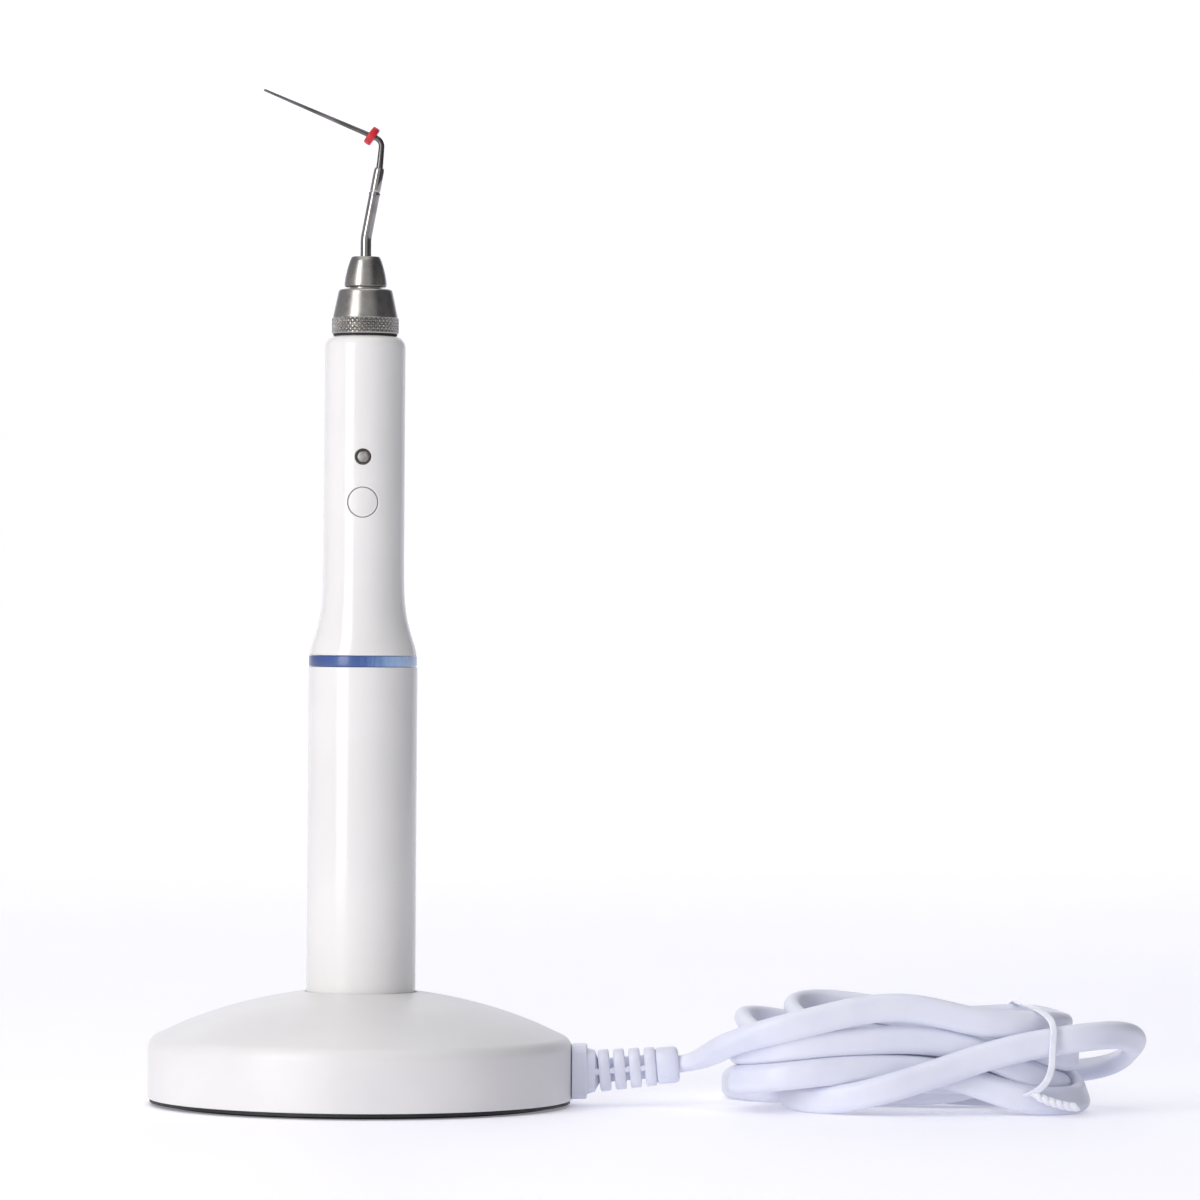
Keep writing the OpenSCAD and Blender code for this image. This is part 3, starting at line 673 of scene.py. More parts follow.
@dataclass
class Studio:
    """Camera, lights and the pale sweep that the object stands on, in metres."""

    eye: tuple[float, float, float] = (0.0502, -1.4, 0.1073)
    lens: float = 197.9
    sensor: float = 36.0
    roll: float = -0.4
    floor_front: float = 3.2
    floor_half_width: float = 3.4
    floor_back: float = 2.2
    bend: float = 0.9
    wall: float = 2.4
    half_width: float = 1.5
    room: float = 0.53
    walls: tuple = ((0.0, "#dcdce0"), (0.15, "#d4d4d8"), (0.3, "#f4f4f8"), (0.68, "#f4f4f8"),
                    (0.86, "#5e5e63"), (1.0, "#8c8c90"))

    def camera(self) -> None:
        """Set up the camera: level, looking along +Y."""
        data = bpy.data.cameras.new("camera")
        data.lens, data.sensor_width = self.lens, self.sensor
        data.clip_start, data.clip_end = 0.05, 20
        made = bpy.data.objects.new("camera", data)
        made.location = self.eye
        made.rotation_euler = (math.pi / 2, math.radians(self.roll), 0)
        bpy.context.scene.collection.objects.link(made)
        bpy.context.scene.camera = made

    def sweep(self) -> None:
        """Build the sweep: a wide floor that turns up in a quarter circle into a narrower wall."""
        turn = np.linspace(0, math.pi / 2, 25)
        along = np.concatenate([[-self.floor_front], self.floor_back + self.bend * np.sin(turn),
                                [self.floor_back + self.bend]])
        up = np.concatenate([[0], self.bend * (1 - np.cos(turn)), [self.wall]])
        extra = self.floor_half_width - self.half_width
        half = self.half_width + extra * np.clip(1 - up / self.bend, 0, 1)
        across = half[:, None] * np.linspace(-1, 1, 9)
        grid = np.stack(np.broadcast_arrays(across, along[:, None], up[:, None]), -1) / MM
        skin = Skin()
        skin.weave(skin.rows(grid), wrap_columns=False)
        made = skin.piece("studio_sweep")
        Finish("paper_matt_white_sweep", "", "#f5f5fa", "#f3f2f9", 0.5, 0.04,
               patch_mm=400, grain_mm=2, grain_depth_mm=0.01, glow=0.24).dress(made)

    def lights(self) -> None:
        """Hang the softboxes, and light the room: pale, with a darker wall at +X."""
        for light in (
            Softbox("key_left", (-0.62, -0.72, 0.42), (0.0, 0.0, 0.1), 0.42, 0.95, 5.7, "#fffdfb"),
            Softbox("top_fill", (-0.1, -0.1, 1.3), (0.05, 0.1, 0.0), 1.4, 1.2, 4.2),
            Softbox("wall_wash", (0.0, 1.4, 1.9), (0.0, 2.9, 0.4), 3.0, 0.8, 22.0, "#fbfbff"),
        ):
            light.build()
        world = bpy.data.worlds.new("room")
        world.use_nodes = True
        tree = world.node_tree
        tree.nodes.clear()
        towards = node(tree, "ShaderNodeTexCoord").outputs["Generated"]
        ways = node(tree, "ShaderNodeSeparateXYZ", {"Vector": towards})
        share = node(tree, "ShaderNodeMapRange", {"Value": ways.outputs["X"], "From Min": -1.0})
        walls = ramp(tree, share.outputs[0], self.walls)
        room = node(tree, "ShaderNodeBackground", {"Color": walls, "Strength": self.room})
        node(tree, "ShaderNodeOutputWorld", {"Surface": room.outputs[0]})
        bpy.context.scene.world = world
        bpy.context.scene.view_settings.view_transform = "Standard"
        bpy.context.scene.view_settings.look = "None"

    def build(self) -> None:
        """Set up the camera, the sweep and the lights."""
        self.camera()
        self.sweep()
        self.lights()
        log.info("studio: lens %.1f mm, camera at %s", self.lens, self.eye)


# ---------------------------------------------------------------- cord

@dataclass(frozen=True)
class Turn:
    """One turn of the hank: its front run, right-hand fold, back run and left-hand fold.

    Heights are of the cord's centre, and each run and fold has three of them, in the order that
    the cord takes: a front run goes to +X, a back run comes back to -X.
    """

    front_y: float
    front_z: tuple[float, float, float]
    right_x: float
    right_r: float
    right_z: tuple[float, float, float]
    right_lean: float
    back_y: float
    back_z: tuple[float, float, float]
    left_x: float = 0.0
    left_r: float = 0.0
    left_z: tuple[float, float, float] = (0.0, 0.0, 0.0)
    left_lean: float = 0.0
    left_y: float = -6.5
    back_lean: float = 0.0


@dataclass
class Cord:
    """Flat two-core cord from the strain relief, through its hank, to the plug."""

    width: float = 6.0
    thickness: float = 3.6
    step: float = 2.0
    centre_y: float = -6.5
    run_x: tuple[float, float, float] = (106.0, 121.0, 136.0)
    pinch: float = 0.05
    air: float = 0.1

    # Relaxing: steps along the cord that never count as touching, how hard touching strands push,
    # how far and how often the bend is evened out, the pull home and the share of rounds it
    # lasts, and the room left under the sheath.
    neighbours: int = 8
    push_gain: float = 1.8
    even_out: float = 0.4
    even_times: int = 3
    home_pull: float = 0.004
    home_share: float = 0.75
    floor_gap: float = 0.05
    # Steps that come free gradually at the start, and that stay put and come free at the end.
    start_held: int = 10
    end_held: int = 32
    end_free: int = 48

    # Both ends of the route, as (x, y, z, roll in degrees); the sheath lies flat at a roll of 90.
    lead: tuple = ((66.0, 0, 8.75, 90), (67.6, 0, 8.9, 90), (71.5, -2.2, 10.2, 85),
                   (75.5, -7.4, 11.6, 74), (79.5, -13.6, 13.0, 60), (84.5, -18.8, 14.9, 38),
                   (91, -21.6, 17.3, 15), (98, -22.2, 19.8, 3))
    tail: tuple = ((104, 9.5, 3.8, 0), (96, 9.5, 3.2, 0), (87.5, 11.8, 3.1, 0), (81.3, 18, 3.1, 0),
                   (79, 26.5, 3.1, 0), (81.3, 35, 3.7, 0), (87.5, 41.2, 5.2, 40),
                   (93.3, 43.5, 6.8, 90), (96.0, 43.5, 6.85, 90))
    turns: tuple[Turn, ...] = (
        Turn(-19.4, (22.0, 22.2, 16.0), 149.4, 13, (15.2, 15.0, 15.4), 10,
             3.6, (16.8, 18.8, 20.8), 91.5, 12, (21.6, 21.2, 17.6), 25, -3.5),
        Turn(-13.8, (13.4, 13.0, 11.6), 150.2, 13.2, (11.4, 11.2, 11.4), 0,
             4.4, (11.8, 13.4, 15.2), 80.9, 12.5, (18.2, 18.6, 14.0), 30, -3.5),
        Turn(-13.8, (8.4, 7.8, 7.6), 146.4, 10.4, (8.0, 8.2, 8.2), 0,
             1.2, (8.4, 9.4, 10.8), 79.0, 14.5, (12.2, 12.8, 13.4), 10),
        Turn(-17.8, (15.0, 15.5, 12.4), 149.4, 13, (9.2, 6.6, 5.2), 0,
             4.8, (4.0, 3.8, 4.6), 79.6, 15, (5.8, 6.8, 7.6), -10),
        Turn(-17.8, (8.8, 9.2, 6.0), 152.0, 14, (3.4, 4.0, 5.2), -20,
             0.6, (5.4, 4.2, 3.1), 90.2, 13, (3.1, 3.4, 4.0), 0),
        Turn(-21.6, (5.4, 8.6, 14.2), 163.8, 15, (18.4, 14.0, 8.4), 10,
             8.4, (6.6, 5.4, 4.4), back_lean=58),
    )

    def fold(self, x: float, r: float, z: tuple[float, float, float], lean: float,
             ends: tuple[float, float], side: int, middle: float,
             after: float = 0.0) -> list[tuple[float, float, float, float]]:
        """Points of a fold: a half circle about a centre r inside its far end.

        Args:
            x: the fold's far end.
            r: its radius.
            z: heights a quarter, half and three quarters of the way round.
            lean: how far the sheath leans at the far end, in degrees.
            ends: heights where the fold starts and ends.
            side: 1 for the right-hand fold, -1 for the left-hand one.
            middle: where its centre lies across the hank.
            after: how far the sheath leans when it leaves the fold, in degrees.

        Returns:
            Route points.
        """
        marks, heights = (-90, -45, 0, 45, 90), (ends[0], *z, ends[1])
        out = []
        for degrees in (-66, -33, 0, 33, 66):
            a = math.radians(degrees)
            out.append((x + side * r * (math.cos(a) - 1), middle + side * r * math.sin(a),
                        float(np.interp(degrees, marks, heights)),
                        lean * math.cos(a) + after * (1 + math.sin(a)) / 2))
        return out

    def guide(self) -> np.ndarray:
        """The route's guide points, turn by turn, as (x, y, z, roll in degrees)."""
        out = list(self.lead)
        for number, turn in enumerate(self.turns):
            draw = self.pinch * (1 if turn.front_y < -14 else 0.5)
            far = self.run_x[-1]
            out += [(x, turn.front_y - (far - x) * draw, z, 0.0)
                    for x, z in zip(self.run_x, turn.front_z)]
            out += self.fold(turn.right_x, turn.right_r, turn.right_z, turn.right_lean,
                             (turn.front_z[-1], turn.back_z[0]), 1, self.centre_y, turn.back_lean)
            out += [(x, turn.back_y + (far - x) * self.pinch, z, turn.back_lean * share)
                    for x, z, share in zip(self.run_x[::-1], turn.back_z, (0.8, 0.3, 0.0))]
            if number + 1 < len(self.turns):
                out += self.fold(turn.left_x, turn.left_r, turn.left_z, turn.left_lean,
                                 (turn.back_z[-1], self.turns[number + 1].front_z[0]), -1,
                                 turn.left_y)
        return np.array(out[:-1] + list(self.tail), float)

    def smoothed(self, guide: np.ndarray) -> np.ndarray:
        """Centripetal Catmull-Rom curve through the guide points, stepped evenly.

        Between points b and c the curve blends the straight lines through a, b, c and d, with a
        knot spacing equal to the square root of each gap.

        Args:
            guide: (x, y, z, roll) points.

        Returns:
            The same four numbers about every step along the curve.
        """
        ends = np.vstack([2 * guide[0] - guide[1], guide, 2 * guide[-1] - guide[-2]])
        a, b, c, d = (ends[k:len(ends) - 3 + k][:, None] for k in range(4))
        gap = np.sqrt(np.linalg.norm(np.diff(ends[:, :3], axis=0), axis=1))
        t0 = np.zeros(len(guide) - 1)[:, None, None]
        t1 = t0 + gap[:-2, None, None]
        t2 = t1 + gap[1:-1, None, None]
        t3 = t2 + gap[2:, None, None]
        t = t1 + (t2 - t1) * np.linspace(0, 1, 24, endpoint=False)[None, :, None]

        def between(p: np.ndarray, q: np.ndarray, u: np.ndarray, v: np.ndarray) -> np.ndarray:
            """Straight line that is p at knot u and q at knot v."""
            return (v - t) / (v - u) * p + (t - u) / (v - u) * q

        ab, bc, cd = between(a, b, t0, t1), between(b, c, t1, t2), between(c, d, t2, t3)
        curve = between(between(ab, bc, t0, t2), between(bc, cd, t1, t3), t1, t2).reshape(-1, 4)
        curve = np.vstack([curve, guide[-1]])
        spans = np.linalg.norm(np.diff(curve[:, :3], axis=0), axis=1)
        run = np.concatenate([[0], np.cumsum(spans)])
        even = np.linspace(0, run[-1], int(round(run[-1] / self.step)) + 1)
        return np.stack([np.interp(even, run, curve[:, k]) for k in range(4)], 1)

    def relaxed(self, route: np.ndarray, rounds: int = 220) -> np.ndarray:
        """Let the strands push each other apart while the cord's own stiffness keeps it smooth.

        Two strands closer than their half sizes added together move apart along the line between
        them, measured in units of those sizes; the bend is then evened out by the fourth
        difference, a weak pull leads home, and nothing sinks into the floor.

        Args:
            route: (x, y, z, roll) points.
            rounds: how many times this is done.

        Returns:
            The route at rest.
        """
        at, roll = route[:, :3].copy(), np.radians(route[:, 3])
        half_w, half_t = self.width / 2, self.thickness / 2
        tall = np.hypot(half_w * np.cos(roll), half_t * np.sin(roll))
        painted_shade_blue = np.hypot(half_t * np.cos(roll), half_w * np.sin(roll))
        level, upright = painted_shade_blue[:, None] + painted_shade_blue, tall[:, None] + tall
        room = np.stack([level, level, upright], -1) + self.air
        order = np.arange(len(at))
        apart = np.abs(order[:, None] - order) > self.neighbours
        free = np.ones(len(at))
        free[:self.start_held] = np.linspace(0, 1, self.start_held) ** 2
        free[-self.end_held:] = 0
        free[-self.end_free:-self.end_held] = np.linspace(1, 0, self.end_free - self.end_held)
        free = free[:, None]
        home = at.copy()
        spread = np.convolve(np.ones(5), np.ones(5)) / 25
        for turn in range(rounds):
            gap = (at[:, None] - at) / room
            length = np.linalg.norm(gap, axis=-1) + 1e-9
            touch = (length < 1) & apart
            push = (np.where(touch, (1 - length) / length, 0)[..., None] * gap * room).sum(1)
            push /= np.maximum(touch.sum(1), 1)[:, None] * 2
            push = np.stack([np.convolve(push[:, k], spread, "same") for k in range(3)], 1)
            at += self.push_gain * push * free
            for _ in range(self.even_times):
                bend = np.zeros_like(at)
                bend[1:-1] = (at[:-2] + at[2:]) / 2 - at[1:-1]
                change = np.zeros_like(at)
                change[2:-2] = (bend[1:-3] + bend[3:-1]) / 2 - bend[2:-2]
                at -= self.even_out * change * free
            if turn < self.home_share * rounds:
                at += self.home_pull * (home - at) * free
            at[:, 2] = np.maximum(at[:, 2], tall + self.floor_gap)
        return np.column_stack([at, route[:, 3]])

    def section(self) -> np.ndarray:
        """Outline of the flat sheath: two half circles joined by flats, long side first."""
        a = np.linspace(-math.pi / 2, math.pi / 2, 16)
        round_r, reach = self.thickness / 2, (self.width - self.thickness) / 2
        right = np.stack([reach + round_r * np.cos(a), round_r * np.sin(a)], 1)
        return np.vstack([right, -right])

    def build(self) -> tuple[Piece, np.ndarray]:
        """Lay the cord and make its sheath.

        Returns:
            The cord, and its centreline as (x, y, z, roll in degrees) points.
        """
        route = self.relaxed(self.smoothed(self.guide()))
        wide, flat = frames_along(route[:, :3], np.radians(route[:, 3]))
        skin = Skin()
        outline = self.section()
        add_swept(skin, route[:, :3], wide, flat, outline)
        around = 2 * (self.width - self.thickness) + math.pi * self.thickness
        girth = np.linspace(0, around, len(outline))
        run = np.arange(len(route)) * self.step
        uv = np.stack(np.broadcast_arrays(girth[None], run[:, None]), -1).reshape(-1, 2)
        skin.uvs = [uv, uv[:1], uv[-1:]]
        made = skin.piece("flat_cord", sharp=math.radians(70))
        settle(made, "charging_base", SHEATH_PVC, ("cord_lead", "cord_hank", "cord_tail"))
        return made, route


@dataclass
class StrainRelief:
    """Moulded relief at the base: a square head and a sleeve of ribs joined by thin straps."""

    head_z: float = 7.3
    sleeve_x: float = 50.3
    sleeve_z: float = 7.4
    lift: float = 5.0
    ribs: int = 4
    pitch: float = 3.25
    rib: float = 2.35
    length: float = 17.4
    around: int = 96

    def stations(self) -> np.ndarray:
        """Sections along the relief: distance, half depth, half height, power, strap half depth."""
        rows = [(-5.4, 4.9, 5.4, 9, 0), (-5.3, 5.2, 5.7, 9, 0), (-2.4, 5.2, 5.7, 9, 0),
                (-2.2, 5.0, 5.45, 7, 0), (-2.1, 4.75, 4.75, 6, 0), (-0.5, 4.6, 4.3, 6, 0)]
        edge, core = 0.3, (3.0, 2.5, 3)
        for number in range(self.ribs):
            start = 0.4 + number * self.pitch
            a, b = 4.8 - 0.1 * number, 4.35 - 0.1 * number
            rows += [(start - 0.06, *core, a - 0.25), (start, a - edge, b - edge, 4, 0),
                     (start + edge, a, b, 4, 0), (start + self.rib - edge, a, b, 4, 0),
                     (start + self.rib, a - edge, b - edge, 4, 0),
                     (start + self.rib + 0.06, *core, a - 0.25)]
        ring = self.length - 4.9
        rows += [(ring - 0.06, *core, 4.0), (ring, 3.9, 3.3, 4, 0), (ring + 0.5, 4.4, 3.8, 4, 0),
                 (ring + 3.9, 4.4, 3.8, 4, 0), (ring + 4.6, 4.1, 3.5, 4, 0),
                 (ring + 4.9, 3.5, 2.9, 4, 0)]
        return np.array(rows, float)

    def build(self) -> Piece:
        """Make the relief.

        Each section is a rounded box in polar form; between the ribs it is the larger of a low
        core and a thin, wide strap, so that the slots show above and below the strap.

        Returns:
            The piece.
        """
        rows = self.stations()
        radii = box_section(rows[:, 1], rows[:, 2], rows[:, 3], self.around)
        strap = box_section(np.maximum(rows[:, 4], 0.1), np.full(len(rows), 0.7), 6.0, self.around)
        radii = np.maximum(radii, strap)
        tilt = math.radians(self.lift)
        along = rows[:, 0]
        beyond = np.maximum(along, 0)
        path = np.stack([self.sleeve_x + np.minimum(along, 0) + beyond * math.cos(tilt), 0 * along,
                         np.interp(along, [-5.4, 0], [self.head_z, self.sleeve_z])
                         + beyond * math.sin(tilt)], 1)
        turn = np.where(along > 0, tilt, 0.0)
        level = np.tile([0.0, 1.0, 0.0], (len(path), 1))
        upright = np.stack([-np.sin(turn), 0 * turn, np.cos(turn)], 1)
        skin = Skin()
        add_swept(skin, path, level, upright, polar(radii))
        made = skin.piece("strain_relief_sleeve", sharp=math.radians(50))
        return settle(made, "charging_base", MOULDED_PVC, ("strain_relief",))


@dataclass
class Tie:
    """Film-covered tie drawn round the strands, with its two ends twisted together."""

    x: float = 136.8
    bulge: float = 8.4
    width: float = 1.5
    thickness: float = 0.75
    gap: float = 0.8
    slice_half: float = 5.0
    above: float = 6.6
    square: float = 4.0
    sway: float = 2.4
    twist_reach: float = 9.5
    twist_back: float = 1.6
    twist_end: float = 2.2
    twist_turns: float = 3.2
    twist_r: float = 0.55
    leaves_at: float = 222.0
    steps: int = 180

    def build(self, route: np.ndarray, cord: Cord) -> Piece:
        """Make the tie from the strands that it holds.

        The loop is a rounded box |y/a|^p + |z/b|^p = 1 round the strands' extent, and it bows
        forward along the cord where it crosses the front.

        Args:
            route: the cord's (x, y, z, roll) points.
            cord: the cord, for its section.

        Returns:
            The piece.
        """
        near = route[(np.abs(route[:, 0] - self.x - 3) < self.slice_half)
                     & (route[:, 2] > self.above)]
        spots = (near[:, None, 1:3] + cord.section()[None, :, ::-1]).reshape(-1, 2)
        middle = (spots.max(0) + spots.min(0)) / 2
        half = (spots.max(0) - spots.min(0)) / 2 + self.gap
        angle = np.arange(self.steps) * FULL_TURN / self.steps
        n = np.stack([np.cos(angle), np.sin(angle)], 1)
        bow = np.sign(n) * np.abs(n) ** (2 / self.square)
        loop = middle + half * bow
        loop[:, 1] = np.maximum(loop[:, 1], self.thickness)
        front = np.clip(-np.cos(angle), 0, 1) ** 1.2
        path = np.column_stack([self.x + self.bulge * front + self.sway * np.sin(angle), loop])
        ahead = np.roll(path, -1, 0) - np.roll(path, 1, 0)
        ahead /= np.linalg.norm(ahead, axis=1)[:, None]
        out = np.column_stack([0 * angle, n])
        side = np.cross(ahead, out)
        side /= np.linalg.norm(side, axis=1)[:, None]
        out = np.cross(side, ahead)
        turn = np.arange(16) * FULL_TURN / 16
        wire = 1 + 0.25 * np.cos(2 * turn)
        oval = np.stack([self.width / 2 * np.cos(turn), self.thickness / 2 * np.sin(turn) * wire],
                        1)
        skin = Skin()
        grid = path[:, None] + side[:, None] * oval[None, :, :1] + out[:, None] * oval[None, :, 1:]
        skin.weave(skin.rows(grid), wrap_rows=True)
        low = int(np.argmin(np.abs(angle - math.radians(self.leaves_at))))
        self.twist(skin, path[low])
        made = skin.piece("twist_tie", sharp=math.radians(60))
        return settle(made, "charging_base", TIE_FILM, ("cord_tie",))

    def twist(self, skin: Skin, start: np.ndarray) -> None:
        """Add the two free ends, wound round each other along a line that drops to the right.

        Args:
            skin: where they go.
            start: where they leave the loop.
        """
        u = np.linspace(0, 1, 60)
        line = start + np.outer(u, [self.twist_reach, -self.twist_back, 0]) + np.column_stack(
            [0 * u, 0 * u, (self.twist_end - start[2]) * np.sin(u * math.pi / 2)])
        ring = np.arange(12) * FULL_TURN / 12
        for half in (0, math.pi):
            phase = u * self.twist_turns * FULL_TURN + half
            swing = self.twist_r * np.minimum(1, 8 * u)
            path = line + np.column_stack([0 * u, swing * np.cos(phase), swing * np.sin(phase)])
            wide, flat = frames_along(path, phase)
            oval = np.stack([0.75 * np.cos(ring), 0.4 * np.sin(ring)], 1)
            add_swept(skin, path, wide, flat, oval)


@dataclass
class Plug:
    """Flat moulded two-pin plug that lies behind the hank, with its bright pins."""

    x: float = 101.0
    y: float = 43.5
    height: float = 13.7
    length: float = 32.0
    pin_gap: float = 18.6
    pin_r: float = 2.0
    pin_out: float = 19.0

    def body(self) -> Piece:
        """Moulding: rounded-box sections that widen from the boot to the face."""
        x = np.array([-7.8, -7.6, -4, -1, 0.4, 2, 5, 9, 12, 15, 18, 20, 22, 24, 26, 28, 30.6, 31.6,
                      32.0])
        a = np.array([3.3, 3.6, 4.2, 4.8, 6.2, 7.1, 8.2, 11.2, 13.6, 16.0, 17.1, 17.5, 17.1, 17.5,
                      17.1, 17.5, 17.5, 17.0, 16.2])
        b = np.array([3.0, 3.3, 3.9, 4.5, 5.6, 6.3, 6.6, 6.75, 6.8, 6.8, 6.8, 6.8, 6.5, 6.8, 6.5,
                      6.8, 6.8, 6.4, 5.8])
        power = np.interp(x, [-7.8, 0, 8], [2.2, 3, 6])
        radii = box_section(a, b, power, 96)
        path = np.column_stack([self.x + x, np.full(len(x), self.y),
                                np.full(len(x), self.height / 2)])
        level = np.tile([0.0, 1.0, 0.0], (len(x), 1))
        upright = np.tile([0.0, 0.0, 1.0], (len(x), 1))
        skin = Skin()
        add_swept(skin, path, level, upright, polar(radii))
        return settle(skin.piece("plug_moulding"), "charging_base", MOULDED_PVC, ("plug_body",))

    def pins(self) -> Piece:
        """Two round pins with domed ends."""
        face, r = self.x + self.length, self.pin_r
        profile = rounded([(0, -3, 0), (r, -3, 0), (r, self.pin_out, 1.2), (0, self.pin_out, 0)])
        skin = Skin()
        for side in (-1, 1):
            y = self.y + side * self.pin_gap / 2

            def place(grid: np.ndarray, y: float = y) -> np.ndarray:
                """Lay the pin along +X."""
                return np.stack([face + grid[..., 2], y + grid[..., 0],
                                 self.height / 2 + grid[..., 1]], -1)

            add_turned(skin, profile, 40, place=place)
        return settle(skin.piece("plug_contact_pins"), "charging_base", POLISHED_TUBE,
                      ("plug_pins",))


@dataclass
class CordSet:
    """The cord with its strain relief, tie and plug."""

    exit: tuple[float, float, float] = (67.6, 0.0, 8.9)

    def build(self) -> None:
        relief = StrainRelief().build()
        cord = Cord()
        sheath, route = cord.build()
        tie = Tie().build(route, cord)
        plug = Plug()
        moulding, pins = plug.body(), plug.pins()


# ---------------------------------------------------------------- charging base

@dataclass
class BaseShell:
    """Domed white cover of the charging base."""

    radius: float = 45.0
    low: float = 1.3
    rim: float = 12.6
    edge: float = 3.2
    top: float = 24.0
    well: float = 11.9
    dome: float = 99.0
    wall: float = 2.3
    boss_at: float = 30.0

    def arch(self, r: np.ndarray, drop: float = 0.0) -> np.ndarray:
        """Dome profile: height of a 99 mm sphere that is level with the top at the well's mouth."""
        centre = self.top - math.sqrt(self.dome ** 2 - self.well ** 2)
        return np.stack([r, centre - drop + np.sqrt(self.dome ** 2 - r ** 2)], 1)

    def build(self) -> Piece:
        """Turn the cover: rim, rounded shoulder, dome, well mouth and the inside wall."""
        inner = self.radius - self.wall
        shoulder = self.arch(np.array([self.radius]))[0, 1]
        side = rounded([(inner, self.low, 0), (self.radius, self.low, 0.25),
                        (self.radius, shoulder, self.edge),
                        tuple(self.arch(np.array([self.radius - 7.0]))[0]) + (0,)], 10)
        over = self.arch(np.linspace(self.radius - 7.5, self.well + 0.6, 48))
        mouth = rounded([tuple(over[-1]) + (0,), (self.well, over[-1, 1] + 0.1, 0.45),
                         (self.well, self.top - self.wall, 0.2),
                         (self.well + 1.2, self.top - self.wall, 0)], 6)
        under = self.arch(np.linspace(self.well + 1.6, inner - 2.6, 24), self.wall)
        skin = Skin()
        inside_foot = [[inner - 0.1, self.rim - 1.4]]
        add_turned(skin, np.vstack([side, over, mouth[1:], under, inside_foot]), 192, loop=True)
        post = rounded([(1.3, 3.1, 0), (3.2, 3.1, 0.2), (3.2, 17.6, 0), (1.3, 17.6, 0)])
        for degrees in (45, 135, 225, 315):
            x, y = (self.boss_at * f(math.radians(degrees)) for f in (math.cos, math.sin))
            add_turned(skin, post, 32, loop=True, place=lambda g, x=x, y=y: g + [x, y, 0])
        return settle(skin.piece("dome_cover"), "charging_base", BASE_ABS, ("base_cover",))


# ---------------------------------------------------------------- pen

@dataclass(frozen=True)
class Window:
    """A round opening in the front of the pen's shell, and its share of the widest patch."""

    height: float
    radius: float
    share: float


